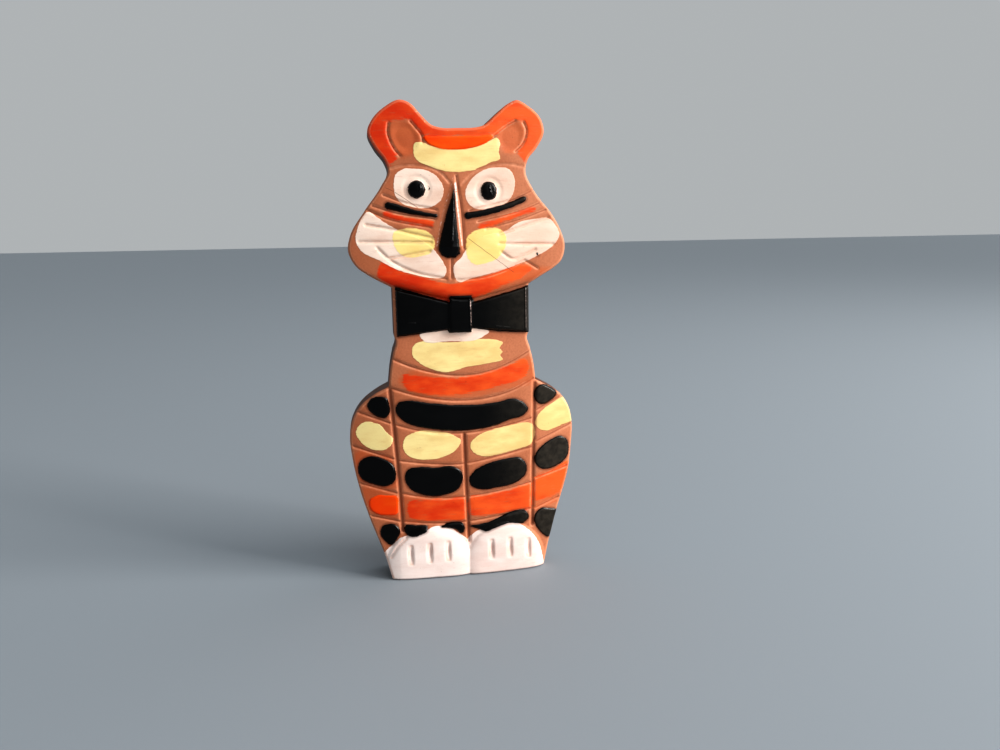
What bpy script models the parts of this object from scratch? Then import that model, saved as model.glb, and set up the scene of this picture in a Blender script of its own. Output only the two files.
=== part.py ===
"""A seated cat figurine, moulded as one slab with its face, bow tie, coat and paws in low relief.

The cat stands on the floor at z = 0 and faces -Y. Its outline and carving are drawn in units of
1/240 of its height; the depths of the slab and of the relief are sizes of their own.
"""
import math

import bpy
import numpy as np
from mathutils import Vector
from mathutils.geometry import delaunay_2d_cdt
from mathutils.kdtree import KDTree

# Driving sizes, in metres
MM = 0.001
HEIGHT = 240 * MM
FRONT_EDGE = 9.5 * MM        # front face ahead of the middle plane, at the widest point
FRONT_CROWN = 4.5 * MM       # how much further the front swells at the middle
BACK_EDGE = 5.0 * MM
BACK_CROWN = 2.0 * MM
HAUNCH_FALL = 1.8 * MM       # how far the haunches slope back from their seam to their side
FRONT_RADIUS = 1.2 * MM
BACK_RADIUS = 3.2 * MM
BASE_RADIUS = 1.0 * MM
HEAD_RAISE = 3.0 * MM        # head ahead of the chest
HEAD_RADIUS = 5.0 * MM
BOW_RAISE = 1.6 * MM         # bow tie ahead of the neck
BOW_RADIUS = 1.2 * MM
KNOT_RAISE = 1.5 * MM        # knot ahead of the bow's wings
NOSE_RAISE = 2.2 * MM        # nose ahead of the face at its lower end
NOSE_FLANK = 1.5 * MM        # width of its steep right side
PAW_RAISE = 2.6 * MM
PUPIL_RAISE = 1.1 * MM
EAR_SINK = 0.8 * MM
SEAM_WIDTH = 2.8 * MM
SEAM_DEPTH = 1.2 * MM
ROW_WIDTH = 1.9 * MM
ROW_DEPTH = 0.8 * MM
FACE_GROOVE_WIDTH = 1.7 * MM
FACE_GROOVE_DEPTH = 0.7 * MM
BROW_DEPTH = 0.4 * MM
TOE_WIDTH = 3.2 * MM
TOE_DEPTH = 1.4 * MM

# Facet sizes, in metres
OUTLINE_STEP = 3.4 * MM
LINE_STEP = 3.2 * MM
FRONT_GRID = 5.0 * MM
BACK_GRID = 9.0 * MM

# The drawing: x to the cat's left as seen from the front, z up, 240 units to the height
DRAWN_HEIGHT = 240
UNIT = HEIGHT / DRAWN_HEIGHT
HALF_WIDTH = 58.5 * UNIT

# The outline, as distances from the middle line, from the top of the head down to the base.
# Each side has its own stretches for the head, the chest and the haunch.
HEAD_RIGHT = [(0, 226.8), (6.6, 227), (11, 227.9), (16.9, 232.6), (23.8, 238.2), (27.6, 239.8), (33.5, 237.3),
              (39.7, 231.8), (41.4, 226), (37.6, 218), (33.2, 212.6), (32, 207.4), (36.4, 197.9), (45.8, 186.3),
              (49.9, 179.3), (52.4, 171), (50.5, 164), (46.2, 160.3), (39.5, 156.3), (33.8, 152.4)]
HEAD_LEFT = [(0, 226.8), (9.3, 227), (13, 228.1), (17.5, 232.2), (23.5, 238.2), (26.8, 239.3), (34.7, 236),
             (40.7, 230.2), (42.8, 225.6), (39.9, 218.2), (35.4, 212), (34, 207.8), (37.6, 200.4), (45.9, 189),
             (53.2, 177.4), (54.5, 171), (51, 163.1), (45.8, 159), (39.4, 155.2), (34.3, 152.4)]
CHEST_RIGHT = [(33.8, 128.4), (32.8, 126.3), (34.3, 120.2), (35.9, 113.3), (37.3, 103)]
CHEST_LEFT = [(34.3, 128.4), (33.6, 126.3), (35.1, 120.2), (36.6, 113.3), (38, 103)]
HAUNCH_RIGHT = [(37.3, 103), (42.4, 100.3), (50.9, 94.6), (55.7, 87.4), (58, 78), (57.6, 67), (55.8, 52.5),
                (52.6, 41), (48.6, 28.5), (44.3, 12.4), (41.6, 0)]
HAUNCH_LEFT = [(38, 103), (44.9, 99.4), (52.2, 93.6), (57, 85.4), (58.5, 77), (57.7, 65), (55.3, 51),
               (50.4, 32.8), (43.9, 13.4), (40.4, 0)]

# Carved lines of the face
FACE_GROOVES = [
    [(-33.1, 228.9), (-33.6, 224.9), (-32.6, 220.9), (-30.9, 217.3), (-28.2, 214.1)],
    [(-23, 229.8), (-19.9, 226.1), (-17.9, 223.6), (-17.4, 220.4)],
    [(16.4, 223.3), (19.8, 225.9), (24.3, 228.9), (27, 230.3)],
    [(31, 229.8), (32.5, 226.3), (31.9, 222.6), (30.1, 219.3), (26.9, 216.3)],
    [(-36.8, 196.4), (-28.5, 193.1), (-12, 189.2)],
    [(-42, 191.4), (-34, 188.7), (-13, 185)],
    [(-44.4, 189.4), (-36, 185.6), (-15, 181)],
    [(36.6, 198.6), (27, 194.4), (4, 188.8)],
    [(41.2, 193), (31, 189), (8, 183.5)],
    [(42, 188.8), (33, 185.6), (12, 180)],
    [(-45.6, 182.7), (-32.4, 180.2), (-14.5, 176)],
    [(-49.1, 174.8), (-15, 174)],
    [(-35.8, 166.7), (-24.7, 168.3), (-15.6, 169.9)],
    [(18.5, 177.4), (31.7, 181.4), (43.4, 185.1)],
    [(18.5, 172.8), (46, 172.1)],
    [(19.5, 168.6), (25.6, 165.1), (29.9, 166.6), (36.7, 169.7)],
    [(-40.7, 171.7), (-35, 166.1), (-23.4, 160), (-8.3, 156.4)],
    [(-2.9, 155.6), (10.1, 156.7), (21, 159.8), (30.9, 164.5)],
    [(30.9, 164.5), (37.7, 160.4)],
    [(-5.4, 165.8), (-5.6, 156.7)],
    [(-2.2, 205), (-1.1, 197), (-0.2, 190.4), (0.7, 176), (0.9, 170.6)],
]
BROWS = [
    [(-33, 208.3), (-27, 209.6), (-17.1, 209.2), (-9.3, 206.1), (-5.6, 201.9)],
    [(30.8, 209.3), (22.3, 210.4), (14.1, 209.1), (5.6, 205.8), (0.4, 200.8)],
]

# Carved rows of the coat, each in three runs: left haunch, body and right haunch
COAT_ROWS = [
    [[(-35.4, 117), (-25, 112.5), (-12.7, 109), (-1, 107.6), (12.6, 109.2), (23, 112.7), (34, 118.4)]],
    [[(-36.8, 102.3), (-25.5, 98.5), (-13.1, 95.8), (-1.4, 94.6), (12.3, 95.4), (24.6, 98.4), (35.8, 103.7)]],
    [[(-54, 90.4), (-38.4, 84.5)],
     [(-36, 83.6), (-26.1, 80.6), (-1.8, 77.5), (18, 79.4), (34.3, 82.8)],
     [(37.2, 86.8), (52, 93.6)]],
    [[(-57.1, 72.5), (-37.4, 65.6)],
     [(-34.3, 64.5), (-19.2, 62.2), (-2.2, 61.1), (11.8, 63), (34.2, 67.1)],
     [(37, 70), (56.9, 77.3)]],
    [[(-54.6, 52.7), (-36.4, 47.2)],
     [(-34.1, 46.9), (-18.1, 43.7), (-0.9, 43.1), (15, 44.6), (34.1, 47.9)],
     [(36.9, 50), (54.6, 54.2)]],
    [[(-49.6, 35), (-35.6, 31.8)],
     [(-33, 31.6), (-18.5, 29.8), (-1.2, 29.4), (15.7, 30.9), (33.6, 33.2)],
     [(36, 33), (49.8, 37.4)]],
]

# Lines down the coat: both haunch seams and the seam between the forelegs
COAT_SEAMS = [
    [(-37.8, 102.5), (-36.7, 86.2), (-35.7, 68.7), (-34.8, 50.9), (-34.1, 26.5)],
    [(-1, 77), (-0.5, 48.8), (0, 30.5), (0.3, 18)],
    [(36.6, 103), (36.1, 81.8), (35.4, 54.6), (34.8, 24)],
]

# The paws' toe lines and the fold on the left paw
TOE_LINES = [[(x, top), (x, top - 9.5)] for x, top in
             [(-30.6, 18.4), (-20.8, 19.2), (-11.2, 19.4), (11.8, 18.4), (21.8, 18.6), (31.9, 16.8)]]
PAW_FOLD = [(-32.2, 23), (-36.8, 18.4), (-40.6, 12.6)]
SEAM_PLACE = 36 * UNIT       # the haunches begin this far from the middle line

# Nose: a roof from the brow to the tip, then a short underside
NOSE_TOP = (-2.8, 205.5)
NOSE_BASE = (-6.5, 171.4)
NOSE_CHIN = (-6.0, 166.4)
NOSE_HALF_WIDTH = 6.4
NOSE_SPREAD = 0.75           # below 1, the nose widens fastest at its top
NOSE_CREST = 0.2             # the crest's place across it, from -1 at its left to 1 at its right
NOSE_SHOULDER = 0.8          # height at its right side, as a share of the crest's

# Eyes and paws
PUPILS = [(-21.1, 198.8), (13.5, 197.9)]
PUPIL_RADIUS = 4.1
EYE_RING_RADIUS = 6.0
PAWS = [((-20.6, 5.5), (22.6, 22.4)), ((20, 4.5), (21.6, 22.6))]

# Bow tie: the wings' upper and lower edges on one side, and the knot
BOW_HALF_LENGTH = 32.8
BOW_TOP = (142.9, 151.6)
BOW_FOOT = (132.2, 128.7)
KNOT_LEFT, KNOT_RIGHT, KNOT_FOOT, KNOT_TOP = -7.2, 3.9, 129.8, 147.2

# Chin: the head's lower edge, a rounded V over the bow
CHIN_LOW = 145.6
CHIN_SLOPE = 0.27
CHIN_ROUND = 6


def drawn(points):
    """Points of the drawing, in metres."""
    return np.array(points, float) * UNIT


def even_steps(line, step):
    """The same line, cut into even steps of about the given length."""
    run = np.concatenate([[0], np.cumsum(np.linalg.norm(np.diff(line, axis=0), axis=1))])
    stations = np.linspace(0, run[-1], max(1, round(run[-1] / step)) + 1)
    return np.stack([np.interp(stations, run, line[:, i]) for i in range(2)], axis=1)


def smooth_line(points, step):
    """A smooth curve through the points of the drawing, in even steps."""
    knots = drawn(points)
    if len(knots) == 2:
        return even_steps(knots, step)
    t = np.concatenate([[0], np.cumsum(np.linalg.norm(np.diff(knots, axis=0), axis=1))])
    slope = np.gradient(knots, t, axis=0)
    fine = []
    for i in range(len(knots) - 1):
        span = t[i + 1] - t[i]
        u = np.linspace(0, 1, 24, endpoint=False)[:, None]
        fine.append((2 * u**3 - 3 * u**2 + 1) * knots[i] + (3 * u**2 - 2 * u**3) * knots[i + 1]
                    + span * ((u**3 - 2 * u**2 + u) * slope[i] + (u**3 - u**2) * slope[i + 1]))
    return even_steps(np.concatenate(fine + [knots[-1:]]), step)


def outline_side(stretches, step):
    """One side of the outline from the top down; straight lines join stretches that don't touch."""
    parts = [smooth_line(stretches[0], step)]
    for above, below in zip(stretches[:-1], stretches[1:]):
        parts.append(even_steps(drawn([above[-1], below[0]]), step)[1:-1])
        parts.append(smooth_line(below, step)[int(above[-1] == below[0]):])
    return np.concatenate(parts)


def outline_loop(step, foot=0.0):
    """The whole outline, clockwise from the top; foot moves the base edge down from the floor."""
    right = outline_side([HEAD_RIGHT, CHEST_RIGHT, HAUNCH_RIGHT], step)
    left = outline_side([HEAD_LEFT, CHEST_LEFT, HAUNCH_LEFT], step)[:0:-1] * [-1, 1]
    base = np.array([right[-1], left[0]])
    if foot:
        return np.concatenate([right, base - [0, foot], left])
    return np.concatenate([right, even_steps(base, step)[1:-1], left])


def line_distance(points, line):
    """Distance of each point to an open line."""
    nearest = np.full(len(points), np.inf)
    for start, end in zip(line[:-1], line[1:]):
        along = end - start
        share = np.clip((points - start) @ along / (along @ along), 0, 1)
        nearest = np.minimum(nearest, np.linalg.norm(points - start - share[:, None] * along, axis=1))
    return nearest


def depth_inside(points, loop):
    """Distance of each point to a closed loop, below zero outside it."""
    closed = np.concatenate([loop, loop[:1]])
    crossings = np.zeros(len(points), int)
    for (x0, z0), (x1, z1) in zip(closed[:-1], closed[1:]):
        spans = (z0 > points[:, 1]) != (z1 > points[:, 1])
        if z0 != z1:
            crossings += spans & (points[:, 0] < x0 + (points[:, 1] - z0) * (x1 - x0) / (z1 - z0))
    return np.where(crossings % 2 == 1, 1, -1) * line_distance(points, closed)


def rounding(distance, radius):
    """How far a quarter-round edge falls below its face, at a distance in from the edge."""
    short = radius - np.clip(distance, 0, radius)
    return radius - np.sqrt(radius**2 - short**2)


def chin_line(x):
    """Height of the head's lower edge."""
    return UNIT * (CHIN_LOW + CHIN_SLOPE * (np.hypot(x / UNIT, CHIN_ROUND) - CHIN_ROUND))


def bow_edges(x):
    """Upper and lower edge of the bow tie's wings."""
    share = np.abs(x) / (BOW_HALF_LENGTH * UNIT)
    return [UNIT * (edge[0] + (edge[1] - edge[0]) * share) for edge in (BOW_TOP, BOW_FOOT)]


def knot_depth(points):
    """Distance in from the knot's edges."""
    x, z = points.T
    return np.min([x - KNOT_LEFT * UNIT, KNOT_RIGHT * UNIT - x,
                   z - KNOT_FOOT * UNIT, KNOT_TOP * UNIT - z], axis=0)


def bow_height(points, face):
    """Front of the bow tie, or minus infinity where there is none."""
    x, z = points.T
    top, foot = bow_edges(x)
    wing = np.min([top - z, z - foot, BOW_HALF_LENGTH * UNIT - np.abs(x)], axis=0)
    knot = knot_depth(points)
    wings = np.where(wing > -0.1 * UNIT, face + BOW_RAISE - rounding(wing, BOW_RADIUS), -np.inf)
    knots = np.where(knot > -0.1 * UNIT, face + BOW_RAISE + KNOT_RAISE - rounding(knot, BOW_RADIUS), -np.inf)
    return np.maximum(wings, knots)


def nose_height(points):
    """Height of the nose over the face."""
    x, z = points.T / UNIT
    spread = np.clip((NOSE_TOP[1] - z) / (NOSE_TOP[1] - NOSE_BASE[1]), 0, 1)**NOSE_SPREAD
    under = np.clip((NOSE_BASE[1] - z) / (NOSE_BASE[1] - NOSE_CHIN[1]), 0, 1)
    half = NOSE_HALF_WIDTH * spread * (1 - 0.5 * under) + 0.01
    across = (x - NOSE_TOP[0] - (NOSE_BASE[0] - NOSE_TOP[0]) * spread) / half
    left = (across + 1) / (NOSE_CREST + 1)
    right = 1 - (1 - NOSE_SHOULDER) * (across - NOSE_CREST) / (1 - NOSE_CREST)
    flank = (1 - across) * half * UNIT / NOSE_FLANK
    return NOSE_RAISE * spread * (1 - under) * np.clip(np.min([left, right, flank], axis=0), 0, 1)


def paw_height(points):
    """Height of the paws over the forelegs."""
    height = np.zeros(len(points))
    for centre, radii in PAWS:
        reach = np.linalg.norm((points - drawn(centre)) / drawn(radii), axis=1)
        height = np.maximum(height, np.sqrt(np.clip(1 - reach**4, 0, 1)))
    return PAW_RAISE * height


def eye_height(points):
    """Height of the pupils, and below zero in the ring round each."""
    height = np.zeros(len(points))
    for centre in PUPILS:
        reach = np.linalg.norm(points - drawn(centre), axis=1) / UNIT
        height += PUPIL_RAISE * np.sqrt(np.clip(1 - (reach / PUPIL_RADIUS)**2, 0, 1))
        height -= 0.5 * FACE_GROOVE_DEPTH * np.clip(1 - np.abs(reach - EYE_RING_RADIUS), 0, 1)
    return height


def ear_height(points):
    """The ears' hollows, below zero between the carved lines of each ear."""
    height = np.zeros(len(points))
    for centre, tilt in (((-25.6, 222.5), 0.35), ((24.6, 223), -0.35)):
        x, z = (points - drawn(centre)).T / UNIT
        across = (x * math.cos(tilt) + z * math.sin(tilt)) / 7
        up = (z * math.cos(tilt) - x * math.sin(tilt)) / 8.5
        height -= EAR_SINK * np.clip(1.6 * (1 - np.hypot(across, up)), 0, 1)
    return height


def grooves():
    """Every carved line, with its width and depth."""
    for line in COAT_SEAMS:
        yield smooth_line(line, LINE_STEP), SEAM_WIDTH, SEAM_DEPTH
    for line in [run for row in COAT_ROWS for run in row]:
        yield smooth_line(line, LINE_STEP), ROW_WIDTH, ROW_DEPTH
    for line in FACE_GROOVES + [PAW_FOLD]:
        yield smooth_line(line, LINE_STEP), FACE_GROOVE_WIDTH, FACE_GROOVE_DEPTH
    for line in BROWS:
        yield smooth_line(line, LINE_STEP), FACE_GROOVE_WIDTH, BROW_DEPTH
    for line in TOE_LINES:
        yield smooth_line(line, LINE_STEP), TOE_WIDTH, TOE_DEPTH


def groove_depth(points):
    """How deep the carved lines cut at each point."""
    depth = np.zeros(len(points))
    for line, width, deepest in grooves():
        cut = deepest * np.clip(1 - line_distance(points, line) / (width / 2), 0, 1)
        depth = np.maximum(depth, cut)
    return depth


def edge_rounding(points, radius):
    """How far the rounded rim falls back; the base edge has a smaller round of its own."""
    rim = depth_inside(points, outline_loop(OUTLINE_STEP, foot=3 * radius))
    return np.maximum(rounding(rim, radius), rounding(points[:, 1], BASE_RADIUS))


def front_height(points):
    """How far the front stands ahead of the middle plane."""
    x, z = points.T
    face = FRONT_EDGE + FRONT_CROWN * (1 - (x / HALF_WIDTH)**2)
    beyond = np.clip((np.abs(x) - SEAM_PLACE) / (HALF_WIDTH - SEAM_PLACE), 0, 1)
    face -= np.where(z < drawn(HAUNCH_RIGHT[0])[1], HAUNCH_FALL * beyond, 0)
    chin = z - chin_line(x)
    head = np.where(chin > 0, HEAD_RAISE - HEAD_RAISE * rounding(chin, HEAD_RADIUS) / HEAD_RADIUS, 0)
    carved = nose_height(points) + paw_height(points) + eye_height(points) + ear_height(points)
    slab = face + head + carved - groove_depth(points) - edge_rounding(points, FRONT_RADIUS)
    return np.maximum(slab, np.where(chin > 0, -np.inf, bow_height(points, face)))


def back_height(points):
    """How far the plain back stands behind the middle plane."""
    swell = BACK_CROWN * (1 - (points[:, 0] / HALF_WIDTH)**2)
    return BACK_EDGE + swell - edge_rounding(points, BACK_RADIUS)


def rim_rows(radius):
    """Rows of points that follow the outline in across its rounded rim."""
    loop = outline_loop(OUTLINE_STEP, foot=3 * radius)
    ahead = np.roll(loop, -1, axis=0) - np.roll(loop, 1, axis=0)
    inward = np.stack([ahead[:, 1], -ahead[:, 0]], axis=1) / np.linalg.norm(ahead, axis=1)[:, None]
    for turn in (30, 60, 90):
        offset = radius * (1 - math.cos(math.radians(turn)))
        row = loop + inward * offset
        yield row[depth_inside(row, loop) > 0.97 * offset]


def parallel_rows(line, offset):
    """Two rows of points beside an open line."""
    along = np.gradient(line, axis=0)
    normal = np.stack([-along[:, 1], along[:, 0]], axis=1) / np.linalg.norm(along, axis=1)[:, None]
    return [line + normal * offset, line - normal * offset]


def ring(centre, radii, count):
    """Points round an ellipse of the drawing."""
    turn = np.linspace(0, 2 * math.pi, count, endpoint=False)
    return drawn(centre) + np.stack([np.cos(turn), np.sin(turn)], axis=1) * drawn(radii)


def feature_rows():
    """Rows of points along the edges of the relief, so that facets follow them."""
    fall = np.linspace(0, 1, 14)[:, None]
    spread = fall**NOSE_SPREAD
    for share, inset in ((-1, 0), (NOSE_CREST, 0), (1, NOSE_FLANK / UNIT), (1, 0)):
        edge = np.array([NOSE_BASE[0] + NOSE_HALF_WIDTH * share, NOSE_BASE[1]])
        x = NOSE_TOP[0] + (edge[0] - NOSE_TOP[0]) * spread - inset
        yield drawn(np.concatenate([x, NOSE_TOP[1] + (edge[1] - NOSE_TOP[1]) * fall], axis=1))
    for (x, z), half in ((NOSE_BASE, NOSE_HALF_WIDTH), (NOSE_CHIN, 0.5 * NOSE_HALF_WIDTH)):
        yield smooth_line([(x - half, z), (x + half, z)], LINE_STEP)
    x = np.arange(-HALF_WIDTH, HALF_WIDTH, LINE_STEP)
    for rise in (-0.15 * MM, 0.25 * HEAD_RADIUS, HEAD_RADIUS):
        yield np.stack([x, chin_line(x) + rise], axis=1)
    for inset in (-0.15 * MM, BOW_RADIUS):
        wing_x = x[np.abs(x) < BOW_HALF_LENGTH * UNIT - max(inset, 0)]
        top, foot = bow_edges(wing_x)
        yield np.stack([wing_x, top - inset], axis=1)
        yield np.stack([wing_x, foot + inset], axis=1)
        for side in (-1, 1):
            end = side * (BOW_HALF_LENGTH * UNIT - inset)
            yield even_steps(np.array([(end, BOW_TOP[1] * UNIT), (end, BOW_FOOT[1] * UNIT)]), LINE_STEP)
        left, right = KNOT_LEFT * UNIT + inset, KNOT_RIGHT * UNIT - inset
        foot, top = KNOT_FOOT * UNIT + inset, KNOT_TOP * UNIT
        corners = np.array([(left, top), (left, foot), (right, foot), (right, top)])
        for start, end in zip(corners[:-1], corners[1:]):
            yield even_steps(np.array([start, end]), LINE_STEP)
    for centre, radii in PAWS:
        for share in (1, 0.9, 0.7):
            yield ring(centre, np.array(radii) * share, 36)
    for centre in PUPILS:
        yield drawn([centre])
        for reach in (0.6 * PUPIL_RADIUS, PUPIL_RADIUS, EYE_RING_RADIUS, EYE_RING_RADIUS + 1):
            yield ring(centre, (reach, reach), 12)


def add_clear(kept, row, gap):
    """Adds the points of a row that lie clear of the points already kept."""
    tree = KDTree(len(kept))
    for i, (x, z) in enumerate(kept):
        tree.insert((x, z, 0), i)
    tree.balance()
    clear = [point for point in row.tolist() if tree.find((*point, 0))[2] > gap]
    return np.concatenate([kept, clear]) if clear else kept


def sheet_points(outline, rows, grid, gap):
    """The outline, the rows and a staggered grid, none closer together than the gap."""
    kept = outline
    for row in rows:
        if len(row):
            inside = depth_inside(row, outline) > gap
            kept = add_clear(kept, row[inside], gap)
    x, z = np.meshgrid(np.arange(-HALF_WIDTH, HALF_WIDTH, grid), np.arange(grid / 2, HEIGHT, grid))
    x = x + np.where(np.arange(len(x)) % 2, grid / 2, 0)[:, None]
    field = np.stack([x.ravel(), z.ravel()], axis=1)
    return add_clear(kept, field[depth_inside(field, outline) > 0.6 * grid], 0.6 * grid)


def sheet(points, edge_count):
    """Triangles over the points, inside the loop that the first points make."""
    loop = [(i, (i + 1) % edge_count) for i in range(edge_count)]
    spread = [Vector(p / MM) for p in points]
    result = delaunay_2d_cdt(spread, loop, [], 1, 1e-4)
    source = [ids[0] for ids in result[3]]
    return [[source[i] for i in face] for face in result[2]]


def cat_mesh():
    """The cat's closed surface: a carved front, a plain back and the wall between them."""
    outline = outline_loop(OUTLINE_STEP)
    count = len(outline)
    lines = [row for line, width, _ in grooves()
             for row in [line] + parallel_rows(line, width / 2)]
    front = sheet_points(outline, [*feature_rows(), *lines, *rim_rows(FRONT_RADIUS)], FRONT_GRID, 0.7 * MM)
    back = sheet_points(outline, rim_rows(BACK_RADIUS), BACK_GRID, 0.7 * MM)
    front_at = np.insert(front, 1, -front_height(front), axis=1)
    back_at = np.insert(back, 1, back_height(back), axis=1)
    faces = sheet(front, count)
    faces += [[i + len(front) for i in reversed(face)] for face in sheet(back, count)]
    for i in range(count):
        after = (i + 1) % count
        faces.append([i, after, after + len(front), i + len(front)])
    mesh = bpy.data.meshes.new("cat")
    mesh.from_pydata(np.concatenate([front_at, back_at]).tolist(), [], faces)
    return mesh


def terracotta():
    """Matt reddish-brown fired clay."""
    material = bpy.data.materials.new("terracotta")
    material.use_nodes = True
    shader = material.node_tree.nodes["Principled BSDF"]
    shader.inputs["Base Color"].default_value = (0.40, 0.15, 0.07, 1)
    shader.inputs["Roughness"].default_value = 0.55
    shader.inputs["Metallic"].default_value = 0.0
    return material


def main():
    for thing in list(bpy.data.objects):
        bpy.data.objects.remove(thing)
    collection = bpy.data.collections.new("cat figurine")
    bpy.context.scene.collection.children.link(collection)
    cat = bpy.data.objects.new("cat", cat_mesh())
    cat.data.materials.append(terracotta())
    collection.objects.link(cat)


main()
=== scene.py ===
"""The seated cat figurine's finish: fine relief, painted and glazed patches, light and camera.

The drawing is in units of 1/240 of the cat's height, which is 1 mm at its real size. Depths are in
the same units. The cat stands at z = 0 and faces -Y.
"""
import math
from typing import NamedTuple

import bpy
import numpy as np
from mathutils import Matrix, Vector
from mathutils.geometry import delaunay_2d_cdt
from mathutils.kdtree import KDTree


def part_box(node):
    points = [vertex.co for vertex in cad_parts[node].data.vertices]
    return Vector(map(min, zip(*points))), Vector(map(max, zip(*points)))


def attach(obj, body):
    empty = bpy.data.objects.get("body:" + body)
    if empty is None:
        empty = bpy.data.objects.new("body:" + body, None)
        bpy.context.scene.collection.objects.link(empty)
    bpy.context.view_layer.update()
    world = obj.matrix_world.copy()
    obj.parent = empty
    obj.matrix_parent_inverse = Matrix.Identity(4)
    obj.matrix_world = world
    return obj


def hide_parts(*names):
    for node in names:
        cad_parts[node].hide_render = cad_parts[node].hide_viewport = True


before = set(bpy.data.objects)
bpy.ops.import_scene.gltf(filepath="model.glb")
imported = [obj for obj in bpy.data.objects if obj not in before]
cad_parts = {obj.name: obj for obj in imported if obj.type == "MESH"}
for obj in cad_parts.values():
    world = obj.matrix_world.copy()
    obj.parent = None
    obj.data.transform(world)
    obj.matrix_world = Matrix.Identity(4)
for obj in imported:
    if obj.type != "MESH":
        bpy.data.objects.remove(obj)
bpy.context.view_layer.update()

# Sizes in drawing units
DRAWN_TOP = 239.5
CAD_LOW, CAD_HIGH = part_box("cat")
UNIT = (CAD_HIGH[2] - CAD_LOW[2]) / DRAWN_TOP
FRONT_EDGE, FRONT_CROWN = 9.5, 4.5
BACK_EDGE, BACK_CROWN = 5.0, 2.0
HALF_WIDTH = 58.5
HAUNCH_FALL = 1.8            # how far the haunches slope back from their seam to their side
FRONT_RADIUS, BACK_RADIUS, BASE_RADIUS = 1.2, 3.2, 1.0
HEAD_RAISE, HEAD_RADIUS = 3.0, 5.0
BOW_RAISE, BOW_RADIUS, KNOT_RAISE = 1.4, 1.0, 1.2
NOSE_RAISE, PAW_RAISE, PUPIL_RAISE, EAR_SINK = 2.2, 2.6, 1.1, 0.5
SEAM_GROOVE = (2.8, 1.2)     # width and depth
ROW_GROOVE = (1.9, 0.8)
FACE_GROOVE = (1.7, 0.7)
BROW_GROOVE = (1.7, 0.4)
GROOVE_BEND = 0.85           # how the sides of a carved line curve
GROOVE_SHOULDER = (0.15, 2.5)  # share of the depth that the soft shoulders take, and their width
TOE_SCOOP = (2.7, 1.3, 0.9)  # width of the gentle side, of the steep side, and depth
TOE_SHIFT, TOE_OVERRUN = 0.6, 1
EYE_RING = (1.4, 0.2)
UNEVEN = 0.12                # how far the moulded surface wanders
FRONT_WAVES, BACK_WAVES = (24, 3), (30, 4)     # length of its swells, and their seed
SWELLS = 7
GLAZE_EDGES = {"black": (0.34, 1.1), "red": (0.16, 0.9)}     # height and width of the rounded edge

# Mesh sizes
FINE_STEP = 0.6
FRONT_GRID, BACK_GRID = 0.62, 1.4
LINE_STEP = 1.4
WALL_ROWS = 8
RIM_TURNS = (30, 50, 70, 90)   # rows of points round the rim, in degrees
RIM_CLEAR = 0.97             # a rim row's point is kept if it lies this share of its way in
# How far in from its edge each extra row of points lies
BOW_INSETS, CHIN_INSETS, GLAZE_INSET = (-0.15, 0.3, BOW_RADIUS), (-0.1, 0.2), 0.45
NOSE_ROW_POINTS = 60
# How clear points stay of the outline and of each other, as shares of the grid
ROW_EDGE_GAP, ROW_GAP, FIELD_EDGE_GAP, FIELD_GAP = 0.3, 0.4, 0.5, 0.55
ROW_HEIGHT = 0.87            # rows of a staggered grid lie this share of its step apart
CURVE_PARTS = 24             # each stretch of a curve is first drawn in this many parts
LINE_RUN = 16                # lines are measured in runs of this many steps
LINE_REACH = 8.5             # distances to a line are kept up to this

# The outline, as distances from the middle line, from the top of the head down to the base.
# Each side has its own stretches for the head, the chest and the haunch.
HEAD_RIGHT = [(0, 226.8), (6.6, 227), (11, 227.9), (16.9, 232.6), (23.8, 238.2), (27.6, 239.8),
              (33.5, 237.3), (39.7, 231.8), (41.4, 226), (37.6, 218), (33.2, 212.6), (32, 207.4),
              (36.4, 197.9), (45.8, 186.3), (49.9, 179.3), (52.4, 171), (50.5, 164), (46.2, 160.3),
              (39.5, 156.3), (33.8, 152.4)]
HEAD_LEFT = [(0, 226.8), (9.3, 227), (13, 228.1), (17.5, 232.2), (23.5, 238.2), (26.8, 239.3),
             (34.7, 236), (40.7, 230.2), (42.8, 225.6), (39.9, 218.2), (35.4, 212), (34, 207.8),
             (37.6, 200.4), (45.9, 189), (53.2, 177.4), (54.5, 171), (51, 163.1), (45.8, 159),
             (39.4, 155.2), (34.3, 152.4)]
CHEST_RIGHT = [(33.8, 128.4), (32.8, 126.3), (34.3, 120.2), (35.9, 113.3), (37.3, 103)]
CHEST_LEFT = [(34.3, 128.4), (33.6, 126.3), (35.1, 120.2), (36.6, 113.3), (38, 103)]
HAUNCH_RIGHT = [(37.3, 103), (42.4, 100.3), (50.9, 94.6), (55.7, 87.4), (58, 78), (57.6, 67),
                (55.8, 52.5), (52.6, 41), (48.6, 28.5), (44.3, 12.4), (41.6, 0)]
HAUNCH_LEFT = [(38, 103), (44.9, 99.4), (52.2, 93.6), (57, 85.4), (58.5, 77), (57.7, 65), (55.3, 51),
               (50.4, 32.8), (43.9, 13.4), (40.4, 0)]

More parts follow.
